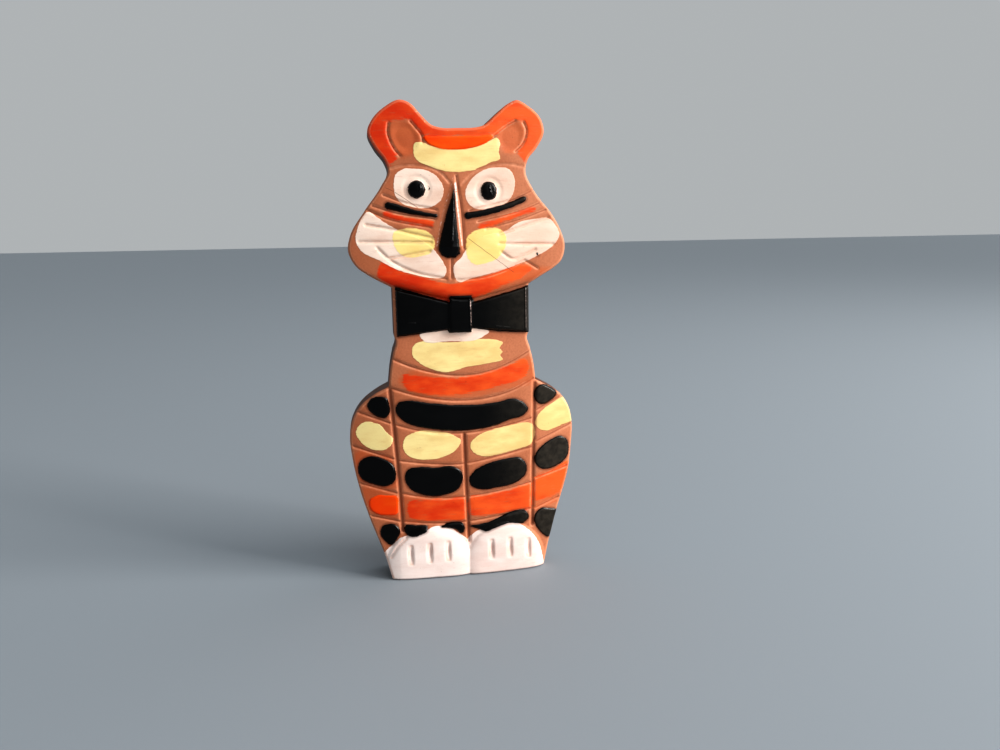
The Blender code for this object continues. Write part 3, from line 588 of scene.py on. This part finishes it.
def front_height(points):
    """How far the front stands ahead of the middle plane, without its paint."""
    x, z = points.T
    face = FRONT_EDGE + FRONT_CROWN * (1 - (x / HALF_WIDTH)**2) + UNEVEN * waves(points, *FRONT_WAVES)
    beyond = np.clip((np.abs(x) - SEAM_PLACE) / (HALF_WIDTH - SEAM_PLACE), 0, 1)
    face -= np.where(z < HAUNCH_RIGHT[0][1], HAUNCH_FALL * beyond, 0)
    chin = z - chin_line(x)
    head = np.where(chin > 0, HEAD_RAISE - HEAD_RAISE * rounding(chin, HEAD_RADIUS) / HEAD_RADIUS, 0)
    carved = nose_height(points) + paw_height(points) + eye_height(points) + ear_height(points)
    slab = face + head + carved - groove_depth(points) - edge_rounding(points, FRONT_RADIUS)
    return np.maximum(slab, np.where(chin > 0, -np.inf, bow_height(points, face)))


def back_height(points):
    """How far the plain back stands behind the middle plane."""
    swell = BACK_CROWN * (1 - (points[:, 0] / HALF_WIDTH)**2)
    return BACK_EDGE + swell + UNEVEN * waves(points, *BACK_WAVES) - edge_rounding(points, BACK_RADIUS)


def stroke_depth(points, line, start_width, end_width):
    """Distance in from the edge of a brush stroke that narrows along its line."""
    path = smooth_line(line, LINE_STEP / 2)
    reach = np.full(len(points), -PAINT_REACH)
    for i in range(len(path) - 1):
        share = i / max(1, len(path) - 2)
        width = start_width + (end_width - start_width) * share
        reach = np.maximum(reach, width - line_distance(points, path[i:i + 2]))
    return reach


def patch_depth(points, loops=(), strokes=(), cornered=()):
    """Distance in from the edge of the nearest painted patch, below zero outside."""
    depth = np.full(len(points), -PAINT_REACH)
    outlines = [smooth_loop(loop, LINE_STEP / 2) for loop in loops] + [array(loop) for loop in cornered]
    for outline in outlines:
        beside = np.flatnonzero(near(points, outline, PAINT_REACH))
        depth[beside] = np.maximum(depth[beside], depth_inside(points[beside], outline))
    for line, start_width, end_width in strokes:
        beside = np.flatnonzero(near(points, array(line), 2 * PAINT_REACH))
        stroke = stroke_depth(points[beside], line, start_width, end_width)
        depth[beside] = np.maximum(depth[beside], stroke)
    return np.clip(depth, -PAINT_REACH, PAINT_REACH)


def paint_depths(points):
    """Each paint's distance in from its edge, at points of the drawing."""
    return {
        "wash": patch_depth(points, WASH_LOOPS),
        "orange": patch_depth(points, ORANGE_LOOPS, ORANGE_STROKES),
        "red": patch_depth(points, RED_LOOPS),
        "cream": patch_depth(points, CREAM_LOOPS),
        "white": patch_depth(points, WHITE_LOOPS),
        "paw": patch_depth(points, PAW_LOOPS),
        "yellow": patch_depth(points, YELLOW_LOOPS),
        "black": patch_depth(points, BLACK_LOOPS, BLACK_STROKES, BLACK_CORNERED),
        "worn_and_highlight": patch_depth(points, strokes=WORN_AND_HIGHLIGHT_STROKES),
        "ridge": patch_depth(points, strokes=RIDGE_STROKES),
    }


def glaze_height(depths):
    """The thick glazes stand up in a rounded edge; the other paints are thin."""
    edges = GLAZE_EDGES.items()
    return sum(height * np.sqrt(ease(depths[name] / width)) for name, (height, width) in edges)


def rim_rows(radius, step):
    """Rows of points that follow the outline in across its rounded rim."""
    loop = outline_loop(step, foot=3 * radius)
    for turn in RIM_TURNS:
        offset = radius * (1 - math.cos(math.radians(turn)))
        row = loop + inward(loop) * offset
        yield row[depth_inside(row, loop) > RIM_CLEAR * offset]


def nose_rows(step):
    """Rows of points along the nose's edges, its crest and its foot."""
    fall = np.linspace(0, 1, NOSE_ROW_POINTS)[:, None]
    for share, inset in ((-1, 0), (NOSE_CREST, 0), (1, NOSE_FLANK), (1, 0)):
        edge = NOSE_BASE[0] + NOSE_HALF_WIDTH * share
        x = NOSE_TOP[0] + (edge - NOSE_TOP[0]) * fall**NOSE_SPREAD - inset
        yield np.concatenate([x, NOSE_TOP[1] + (NOSE_BASE[1] - NOSE_TOP[1]) * fall], axis=1)
    for (x, z), share in ((NOSE_BASE, 1), (NOSE_CHIN, NOSE_CHIN_SHARE)):
        half = share * NOSE_HALF_WIDTH
        yield smooth_line([(x - half, z), (x + half, z)], step)


def bow_rows(step):
    """Rows of points on both sides of the bow tie's and the knot's edges."""
    x = np.arange(-BOW_HALF_LENGTH, BOW_HALF_LENGTH, step)
    for inset in BOW_INSETS:
        top, foot = bow_edges(x)
        yield np.stack([x, top - inset], axis=1)
        yield np.stack([x, foot + inset], axis=1)
        for side in (-1, 1):
            end = side * (BOW_HALF_LENGTH - inset)
            yield even_steps(array([(end, BOW_TOP[1]), (end, BOW_FOOT[1])]), step)
        left, right, foot = KNOT_LEFT + inset, KNOT_RIGHT - inset, KNOT_FOOT + inset
        corners = array([(left, KNOT_TOP), (left, foot), (right, foot), (right, KNOT_TOP)])
        for start, end in zip(corners[:-1], corners[1:]):
            yield even_steps(np.array([start, end]), step)


def edge_rows(step):
    """Rows of points along every crisp edge of the front, and round the black glaze."""
    yield from nose_rows(step)
    yield from bow_rows(step)
    across = np.arange(-HALF_WIDTH, HALF_WIDTH, step)
    for inset in CHIN_INSETS:
        yield np.stack([across, chin_line(across) + inset], axis=1)
    for loop in BLACK_LOOPS:
        outline = smooth_loop(loop, step)
        yield outline
        yield outline + inward(outline) * GLAZE_INSET


def add_clear(kept, row, gap):
    """Adds the points of a row that lie clear of the points already kept."""
    tree = KDTree(len(kept))
    for i, (x, z) in enumerate(kept.tolist()):
        tree.insert((x, z, 0), i)
    tree.balance()
    clear = [point for point in row.tolist() if tree.find((*point, 0))[2] > gap]
    return np.concatenate([kept, clear]) if clear else kept


def sheet_points(outline, rows, grid):
    """The outline, the rows and a staggered grid, none too close together."""
    kept = outline
    for row in rows:
        inside = depth_inside(row, outline) > ROW_EDGE_GAP * grid
        kept = add_clear(kept, row[inside], ROW_GAP * grid)
    x, z = np.meshgrid(np.arange(-HALF_WIDTH, HALF_WIDTH, grid),
                       np.arange(grid / 2, DRAWN_TOP, grid * ROW_HEIGHT))
    x = x + np.where(np.arange(len(x)) % 2, grid / 2, 0)[:, None]
    field = np.stack([x.ravel(), z.ravel()], axis=1)
    inside = depth_inside(field, outline) > FIELD_EDGE_GAP * grid
    return add_clear(kept, field[inside], FIELD_GAP * grid)


def sheet_faces(points, edge_count):
    """Triangles over the points, inside the loop that the first points make."""
    loop = [(i, (i + 1) % edge_count) for i in range(edge_count)]
    result = delaunay_2d_cdt([Vector(p) for p in points.tolist()], loop, [], 1, 1e-5)
    source = [ids[0] for ids in result[3]]
    return [[source[i] for i in face] for face in result[2]]


def cat_surface():
    """The cat's points, faces and paint, with the front, the wall and the back in one surface."""
    outline = outline_loop(FINE_STEP)
    count = len(outline)
    lines = [even_steps(line, FINE_STEP) for line, _, _ in grooves()]
    rows = [*edge_rows(FINE_STEP), *lines, *rim_rows(FRONT_RADIUS, FINE_STEP)]
    front = sheet_points(outline, rows, FRONT_GRID)
    back = sheet_points(outline, list(rim_rows(BACK_RADIUS, FINE_STEP)), BACK_GRID)
    depths = paint_depths(front)
    front_at = np.insert(front, 1, -front_height(front) - glaze_height(depths), axis=1)
    back_at = np.insert(back, 1, back_height(back), axis=1)
    shares = np.arange(1, WALL_ROWS) / WALL_ROWS
    wall = [front_at[:count] + (back_at[:count] - front_at[:count]) * share for share in shares]
    points = np.concatenate([front_at, *wall, back_at])
    faces = sheet_faces(front, count)
    starts = [0] + [len(front) + i * count for i in range(WALL_ROWS)]
    for above, below in zip(starts[:-1], starts[1:]):
        for i in range(count):
            after = (i + 1) % count
            faces.append((above + i, above + after, below + after, below + i))
    faces += [[i + starts[-1] for i in reversed(face)] for face in sheet_faces(back, count)]
    return points, faces, surface_paint(points, depths, len(front), count)


def surface_paint(points, depths, front_count, edge_count):
    """The paint over the whole surface: a little way over the side wall, and none on the back."""
    walls = (WALL_ROWS - 1) * edge_count
    rim_y = np.tile(points[:edge_count, 1], WALL_ROWS - 1)
    behind = np.full(len(points) - front_count, PAINT_REACH)
    behind[:walls] = np.clip(points[front_count:front_count + walls, 1] - rim_y, 0, PAINT_REACH)
    paint = {}
    for name, depth in depths.items():
        over = np.full(len(behind), -PAINT_REACH)
        over[:walls] = np.minimum(np.tile(depth[:edge_count], WALL_ROWS - 1), PAINT_BACK - behind[:walls])
        paint[name] = np.append(depth, over)
    front = points[:front_count, [0, 2]]
    rim = np.clip(depth_inside(front, outline_loop(LINE_STEP, foot=PAINT_REACH)), 0, PAINT_REACH)
    paint["carved"] = np.append(groove_depth(front), np.zeros(len(behind)))
    paint["rim"] = np.append(rim, -behind)
    return paint


RAMP_SOCKETS = ("From Min", "From Max", "To Min", "To Max")


class Graph:
    """Short names for the shader nodes of one material."""

    def __init__(self, name):
        self.material = bpy.data.materials.new(name)
        self.material.use_nodes = True
        self.tree = self.material.node_tree
        self.shader = self.tree.nodes["Principled BSDF"]
        self.place = self.node("ShaderNodeTexCoord").outputs["Object"]
        split = self.node("ShaderNodeSeparateXYZ")
        self.feed(split.inputs[0], self.place)
        self.x, self.y, self.z = split.outputs

    def node(self, kind, **settings):
        node = self.tree.nodes.new(kind)
        for key, value in settings.items():
            setattr(node, key, value)
        return node

    def feed(self, socket, value):
        if isinstance(value, bpy.types.NodeSocket):
            self.tree.links.new(value, socket)
        else:
            socket.default_value = value

    def attribute(self, name):
        return self.node("ShaderNodeAttribute", attribute_name=name).outputs["Fac"]

    def math(self, operation, a, b=0.0):
        node = self.node("ShaderNodeMath", operation=operation)
        self.feed(node.inputs[0], a)
        self.feed(node.inputs[1], b)
        return node.outputs[0]

    def times(self, first, *others):
        """The product of several values."""
        for other in others:
            first = self.math("MULTIPLY", first, other)
        return first

    def noise(self, size, detail=2.0, stretch=(1, 1, 1)):
        """Noise of about the given size in drawing units, centred on zero."""
        mapping = self.node("ShaderNodeMapping")
        self.feed(mapping.inputs["Vector"], self.place)
        mapping.inputs["Scale"].default_value = [1 / (size * UNIT * s) for s in stretch]
        noise = self.node("ShaderNodeTexNoise")
        self.feed(noise.inputs["Vector"], mapping.outputs[0])
        noise.inputs["Scale"].default_value = 1.0
        noise.inputs["Detail"].default_value = detail
        return self.math("SUBTRACT", noise.outputs["Fac"], 0.5)

    def step(self, value, low, high, to_low=0.0, to_high=1.0):
        """A smooth step between two values."""
        node = self.node("ShaderNodeMapRange", interpolation_type="SMOOTHSTEP")
        self.feed(node.inputs["Value"], value)
        for key, setting in zip(RAMP_SOCKETS, (low, high, to_low, to_high)):
            node.inputs[key].default_value = setting
        return node.outputs["Result"]

    def mix(self, share, a, b, kind="RGBA"):
        node = self.node("ShaderNodeMix", data_type=kind)
        self.feed(node.inputs["Factor"], share)
        sockets = [socket for socket in node.inputs if socket.name in "AB" and socket.enabled]
        self.feed(sockets[0], a)
        self.feed(sockets[1], b)
        return [socket for socket in node.outputs if socket.enabled][0]


def linear(red, green, blue):
    """A screen colour, 0 to 255, as a shader colour."""
    shares = [channel / 255 for channel in (red, green, blue)]
    return [c / 12.92 if c <= 0.04045 else ((c + 0.055) / 1.055)**2.4 for c in shares] + [1.0]


class Paint(NamedTuple):
    """One paint and how the brush laid it; lengths are in drawing units."""
    name: str
    # The gap between a paint's left and right tones is painted light and shade across the cat
    left: list                # its tone at the left and at the right
    right: list
    rough: float
    soft: float               # softness of its edge
    wander: float             # how far the brush wanders
    ragged: float             # how ragged its ends are
    cover: float
    thinned: float            # how much the brush thins it
    thick: float


# Painted light and shade across the cat: most paints' right-hand tones are paler, as if lit from that side,
# and the black's is a grey painted sheen; the cream, white, paw and yellow are darker to the right, painted
# shade that tones down their brighter lit side
PAINTS = [
    Paint("wash", linear(200, 92, 42), linear(214, 108, 56), 0.55, 1.6, 2.0, 0.6, 0.55, 0.3, 0.0),
    Paint("orange", linear(216, 56, 0), linear(240, 104, 40), 0.5, 0.7, 1.4, 1.2, 0.95, 0.4, 0.03),
    Paint("cream", linear(252, 230, 166), linear(234, 200, 136), 0.42, 0.12, 0.5, 0.35, 1.0, 0.14, 0.16),
    Paint("white", linear(255, 232, 216), linear(238, 204, 184), 0.42, 0.16, 0.6, 0.25, 0.96, 0.18, 0.10),
    Paint("paw", linear(254, 236, 228), linear(240, 214, 204), 0.42, 0.16, 0.6, 0.25, 1.0, 0.1, 0.12),
    Paint("yellow", linear(255, 232, 156), linear(248, 214, 134), 0.42, 0.35, 0.9, 0.5, 0.95, 0.14, 0.05),
    Paint("red", linear(248, 78, 2), linear(252, 108, 16), 0.18, 0.25, 0.5, 0.3, 1.0, 0.0, 0.08),
    Paint("black", linear(2, 1, 1), linear(10, 9, 8), 0.16, 0.09, 0.5, 0.45, 1.0, 0.0, 0.0),
    # Pale clay for paint that has come away, and for painted highlights
    Paint("worn_and_highlight", linear(226, 184, 168), linear(238, 214, 206), 0.3, 0.2, 0.5, 0.2, 0.85, 0.3, 0.0),
]
GLOSSY = ("red", "black")

# The clay's right-hand tone is paler: painted light from the side the lamps stand on
CLAY_LEFT, CLAY_RIGHT, CLAY_GRAIN = linear(186, 116, 82), linear(202, 132, 98), linear(156, 92, 64)
# Painted shade: the first tone darkens the carved lines and the second the side wall; the third edges the
# black glaze
GROOVE_SHADE_TONE, WALL_SHADE_TONE, HALO_TONE = linear(112, 54, 32), linear(66, 40, 28), linear(66, 34, 22)
# The first tone is a painted sheen for the black; the second is pale clay for flaked spots and painted
# highlights on the rim and the groove lips; the third darkens specks and cracks
PAINTED_SHEEN_TONE, RUBBED_AND_HIGHLIGHT_TONE, CRACK_TONE = linear(84, 76, 66), linear(230, 166, 134), linear(104, 62, 44)


def clay_colour(graph, marks):
    """Reddish-brown clay, cloudy, paler to the right as painted light, and darker in the carved lines as
    painted shade.
    """
    cloud = graph.step(graph.math("ADD", graph.noise(20, 4), marks["side_light"]), -0.25, 0.25)
    grain = graph.step(graph.noise(1.0, 3), -0.2, 0.3, 0.0, 0.3)
    clay = graph.mix(grain, graph.mix(cloud, CLAY_LEFT, CLAY_RIGHT), CLAY_GRAIN)
    # Painted shade: the clay darkens towards the bottom of each carved line
    return graph.mix(graph.step(marks["carved"], 0.3, 1.1, 0.0, 0.5), clay, GROOVE_SHADE_TONE)


def crack_mask(graph):
    """Fine straight cracks, worked out from the place on the drawing."""
    wobble = graph.times(graph.noise(4), 0.5 * UNIT)
    total = 0.0
    for start, end in CRACKS:
        a, b = array(start) * UNIT, array(end) * UNIT
        length = np.linalg.norm(b - a)
        way = (b - a) / length
        x, z = graph.math("SUBTRACT", graph.x, a[0]), graph.math("SUBTRACT", graph.z, a[1])
        along = graph.math("ADD", graph.times(x, way[0]), graph.times(z, way[1]))
        across = graph.math("SUBTRACT", graph.times(x, way[1]), graph.times(z, way[0]))
        away = graph.math("ABSOLUTE", graph.math("ADD", across, wobble))
        crack = graph.times(graph.step(away, 0.22 * UNIT, 0.08 * UNIT),
                            graph.step(along, 0, 0.5 * UNIT),
                            graph.step(along, length, length - 0.5 * UNIT))
        total = graph.math("MAXIMUM", total, crack)
    return total


def paint_over(graph, colour, rough, marks):
    """Lays every paint over the clay, thinner in the carved lines, where the clay's painted groove shade
    shows through; also gives the film and the gloss.
    """
    film = gloss = 0.0
    for paint in PAINTS:
        depth = graph.attribute(paint.name)
        edge = graph.math("ADD", graph.times(marks["edge"], paint.wander),
                          graph.times(marks["brush"], 2 * paint.ragged))
        mask = graph.step(graph.math("ADD", depth, edge), -paint.soft, paint.soft)
        hold = graph.step(marks["brush"], -0.3, -0.05, paint.cover * (1 - paint.thinned), paint.cover)
        if paint.name in GLOSSY:
            gloss = graph.math("MAXIMUM", gloss, mask)
        else:
            hold = graph.times(hold, graph.step(marks["carved"], 0.45, 1.1, 1.0, 0.45))
        if paint.name == "black":
            halo = graph.times(graph.step(depth, -1.5, 0.2, 0.0, 0.62),
                               graph.step(graph.attribute("white"), 0.5, -0.5))
            colour = graph.mix(halo, colour, HALO_TONE)
        shade = graph.mix(marks["tone"], paint.left, paint.right)
        colour = graph.mix(graph.times(mask, hold), colour, shade)
        shine = graph.step(marks["brush"], -0.3, 0.3, paint.rough - 0.02, paint.rough + 0.05)
        rough = graph.mix(mask, rough, shine, "FLOAT")
        film = graph.math("ADD", film, graph.times(mask, paint.thick))
    return colour, rough, film, gloss


def painted_light_and_wear(graph, colour, marks, gloss):
    """Paints shade on the side wall, a sheen on the black at the right, and highlights on the rim and the
    groove lips; adds flaked spots, specks and cracks.
    """
    # Painted shade: the side wall is darkened, and the back behind it less
    wall = graph.times(graph.step(graph.attribute("rim"), -0.1, -0.8, 0.0, 0.85),
                       graph.step(graph.y, 4.3 * UNIT, 5.2 * UNIT, 1.0, 0.3))
    colour = graph.mix(wall, colour, WALL_SHADE_TONE)
    # Painted sheen: the black glaze turns a mottled grey towards the right, a painted reflection of the lit
    # side
    painted_sheen = graph.times(graph.step(graph.x, 6 * UNIT, 46 * UNIT, 0.0, 0.55),
                          graph.step(graph.noise(3, 3), -0.2, 0.2, 0.5, 1.0),
                          graph.step(graph.attribute("black"), 0.2, 1.0))
    colour = graph.mix(painted_sheen, colour, PAINTED_SHEEN_TONE)
    unglazed = graph.math("SUBTRACT", 1.0, gloss)
    # Flaked spots along the rim, over a steady pale band there that is a painted highlight on the edge
    from_rim = graph.math("ABSOLUTE", graph.math("SUBTRACT", graph.attribute("rim"), 0.7))
    rim_chips_and_highlight = graph.times(graph.step(from_rim, 0.9, 0.3),
                        graph.step(graph.noise(1.2, 3), 0.1, 0.2, 0.3, 0.8))
    # Painted highlight: pale clay on the lips of every carved line
    shoulders = graph.times(graph.step(marks["carved"], 0.03, 0.25),
                            graph.step(marks["carved"], 0.65, 0.35),
                            graph.step(graph.noise(5, 3), -0.2, 0.2, 0.1, 0.5))
    rubbed_and_highlight = graph.times(graph.math("MAXIMUM", rim_chips_and_highlight, shoulders), unglazed)
    colour = graph.mix(rubbed_and_highlight, colour, RUBBED_AND_HIGHLIGHT_TONE)
    specks = graph.step(graph.noise(0.8, 0), 0.3, 0.36, 0.0, 0.25)
    dirt = graph.math("MAXIMUM", specks, graph.times(crack_mask(graph), 0.6))
    return graph.mix(graph.times(dirt, unglazed), colour, CRACK_TONE)


def fine_relief(graph, marks, film, gloss):
    """The bump of paint films, brush marks, grain and glaze, in drawing units."""
    black, red = graph.attribute("black"), graph.attribute("red")
    grain = graph.math("ADD", graph.times(graph.noise(0.8, 3), 0.04), graph.times(marks["brush"], 0.02))
    bristles = graph.times(graph.noise(0.6, 2, (1, 1, 0.7)), graph.step(black, 2.4, 0.6, 0.012, 0.06))
    ripple = graph.math("ADD", graph.times(graph.noise(4, 1), 0.05), bristles)
    thick = graph.math("MAXIMUM", graph.step(black, -0.05, 0.7, 0.0, 0.3),
                       graph.step(red, -0.05, 0.7, 0.0, 0.2))
    ridge = graph.step(graph.attribute("ridge"), -0.5, 0.25, 0.0, 0.4)
    glaze = graph.math("ADD", thick, ridge)
    height = graph.math("ADD", graph.math("ADD", film, glaze), graph.mix(gloss, grain, ripple, "FLOAT"))
    bump = graph.node("ShaderNodeBump")
    bump.inputs["Strength"].default_value = 1.0
    bump.inputs["Distance"].default_value = UNIT
    graph.feed(bump.inputs["Height"], height)
    return bump.outputs[0]


def painted_clay():
    """The cat's one material: bare clay under the painted and glazed patches."""
    graph = Graph("painted_clay")
    # This ramp across the cat is painted light and shade: it moves the clay and each paint towards its
    # right-hand tone on the lit side, and the tone mark mixes it with random cloudiness
    side_light = graph.times(graph.x, 0.25 / (HALF_WIDTH * UNIT))
    marks = {
        "side_light": side_light,
        "edge": graph.noise(1.8, 3, (1.6, 1, 0.7)),
        "tone": graph.step(graph.math("ADD", graph.noise(7, 4, (2, 1, 0.8)), side_light), -0.3, 0.3),
        "brush": graph.noise(0.9, 2, (7, 1, 0.8)),
        "carved": graph.attribute("carved"),
    }
    bare = graph.step(graph.noise(6, 3), -0.3, 0.3, 0.46, 0.6)
    colour, rough, film, gloss = paint_over(graph, clay_colour(graph, marks), bare, marks)
    graph.feed(graph.shader.inputs["Base Color"], painted_light_and_wear(graph, colour, marks, gloss))
    graph.feed(graph.shader.inputs["Roughness"], rough)
    graph.feed(graph.shader.inputs["Normal"], fine_relief(graph, marks, film, gloss))
    graph.shader.inputs["Specular IOR Level"].default_value = 0.3
    return graph.material


def make_cat():
    """The painted cat, which stands in for the plain solid."""
    points, faces, paint = cat_surface()
    mesh = bpy.data.meshes.new("painted_cat")
    mesh.from_pydata((points * UNIT).tolist(), [], faces)
    for name, values in paint.items():
        layer = mesh.attributes.new(name, "FLOAT", "POINT")
        layer.data.foreach_set("value", values.astype(np.float32))
    mesh.shade_smooth()
    cat = bpy.data.objects.new("painted_cat", mesh)
    cat.data.materials.append(painted_clay())
    bpy.context.scene.collection.objects.link(cat)
    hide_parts("cat")
    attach(cat, "root")


FLOOR_SIZE, FLOOR_DROP, FLOOR_TONE = 14, 0.0001, linear(140, 146, 152)


def make_floor():
    """A plain pale studio floor, just under the cat."""
    bpy.ops.mesh.primitive_plane_add(size=FLOOR_SIZE, location=(0, 0, -FLOOR_DROP))
    floor = bpy.context.object
    floor.name = "floor"
    graph = Graph("floor_pale")
    graph.shader.inputs["Base Color"].default_value = FLOOR_TONE
    graph.shader.inputs["Roughness"].default_value = 0.75
    floor.data.materials.append(graph.material)


# The window, and a narrow strip of light beside it: turn from the front and height in degrees,
# width and height in metres, and power
WINDOW = (66, 28, (0.8, 1.1), 29)
STRIP = (56, 10, (0.16, 1.3), 8)
LIGHT_AWAY, LIGHT_AIM, LIGHT_TINT = 2.0, 0.12, (1.0, 0.97, 0.93)
# The room's level: its glow towards the window, and what it gives in front of the cat and behind it
ROOM_TINT = linear(236, 240, 242)
ROOM_GLOW = (0.35, 0.95, 0.0, 1.3)
ROOM_DEPTH = (-0.3, 0.5, 0.28, 0.42)


def direction(turn, height):
    """The way to a light, by its turn from the front and its height in degrees."""
    turn, height = math.radians(turn), math.radians(height)
    return Vector((math.sin(turn) * math.cos(height), -math.cos(turn) * math.cos(height), math.sin(height)))


def make_surround():
    """A dim room with a pale wall behind the cat and a bright side towards the window."""
    world = bpy.data.worlds.new("surround")
    bpy.context.scene.world = world
    world.use_nodes = True
    nodes, links = world.node_tree.nodes, world.node_tree.links
    background = nodes["Background"]
    background.inputs["Color"].default_value = ROOM_TINT
    place, split = nodes.new("ShaderNodeTexCoord"), nodes.new("ShaderNodeSeparateXYZ")
    links.new(place.outputs["Generated"], split.inputs[0])
    toward = nodes.new("ShaderNodeVectorMath")
    toward.operation = "DOT_PRODUCT"
    links.new(place.outputs["Generated"], toward.inputs[0])
    toward.inputs[1].default_value = direction(*WINDOW[:2])
    total = nodes.new("ShaderNodeMath")
    ramps = ((toward.outputs["Value"], ROOM_GLOW), (split.outputs["Y"], ROOM_DEPTH))
    for i, (source, ramp) in enumerate(ramps):
        fade = nodes.new("ShaderNodeMapRange")
        fade.interpolation_type = "SMOOTHSTEP"
        for key, setting in zip(RAMP_SOCKETS, ramp):
            fade.inputs[key].default_value = setting
        links.new(source, fade.inputs["Value"])
        links.new(fade.outputs["Result"], total.inputs[i])
    links.new(total.outputs[0], background.inputs["Strength"])


def make_light(name, turn, height, size, power):
    """A soft light that faces the cat."""
    data = bpy.data.lights.new(name, "AREA")
    data.shape = "RECTANGLE"
    data.size, data.size_y = size
    data.energy = power
    data.color = LIGHT_TINT
    light = bpy.data.objects.new(name, data)
    light.location = direction(turn, height) * LIGHT_AWAY + Vector((0, 0, LIGHT_AIM))
    light.rotation_euler = (-direction(turn, height)).to_track_quat("-Z", "Y").to_euler()
    bpy.context.scene.collection.objects.link(light)


# The photographed view: where the camera stands, in drawing units, and how it is turned
CAMERA_PLACE = (-48.2, -383.0, 181.7)
CAMERA_DOWN, CAMERA_TURN, CAMERA_ROLL = 11.29, 10.19, 0.85
FOCAL_PIXELS, IMAGE_WIDTH = 751, 1000
SENSOR_WIDTH = 36            # in millimetres


def make_camera():
    """A camera at the photograph's viewing angle."""
    data = bpy.data.cameras.new("camera")
    data.sensor_width = SENSOR_WIDTH
    data.lens = SENSOR_WIDTH * FOCAL_PIXELS / IMAGE_WIDTH
    data.clip_start = 0.01
    camera = bpy.data.objects.new("camera", data)
    down, turn, roll = (math.radians(a) for a in (CAMERA_DOWN, CAMERA_TURN, CAMERA_ROLL))
    spin = (Matrix.Rotation(-turn, 4, "Z") @ Matrix.Rotation(math.pi / 2 - down, 4, "X")
            @ Matrix.Rotation(-roll, 4, "Z"))
    camera.matrix_world = Matrix.Translation(Vector(CAMERA_PLACE) * UNIT) @ spin
    bpy.context.scene.collection.objects.link(camera)
    bpy.context.scene.camera = camera


make_cat()
make_floor()
make_surround()
make_light("window", *WINDOW)
make_light("strip", *STRIP)
make_camera()
bpy.context.scene.view_settings.view_transform = "Standard"
bpy.context.scene.view_settings.look = "High Contrast"
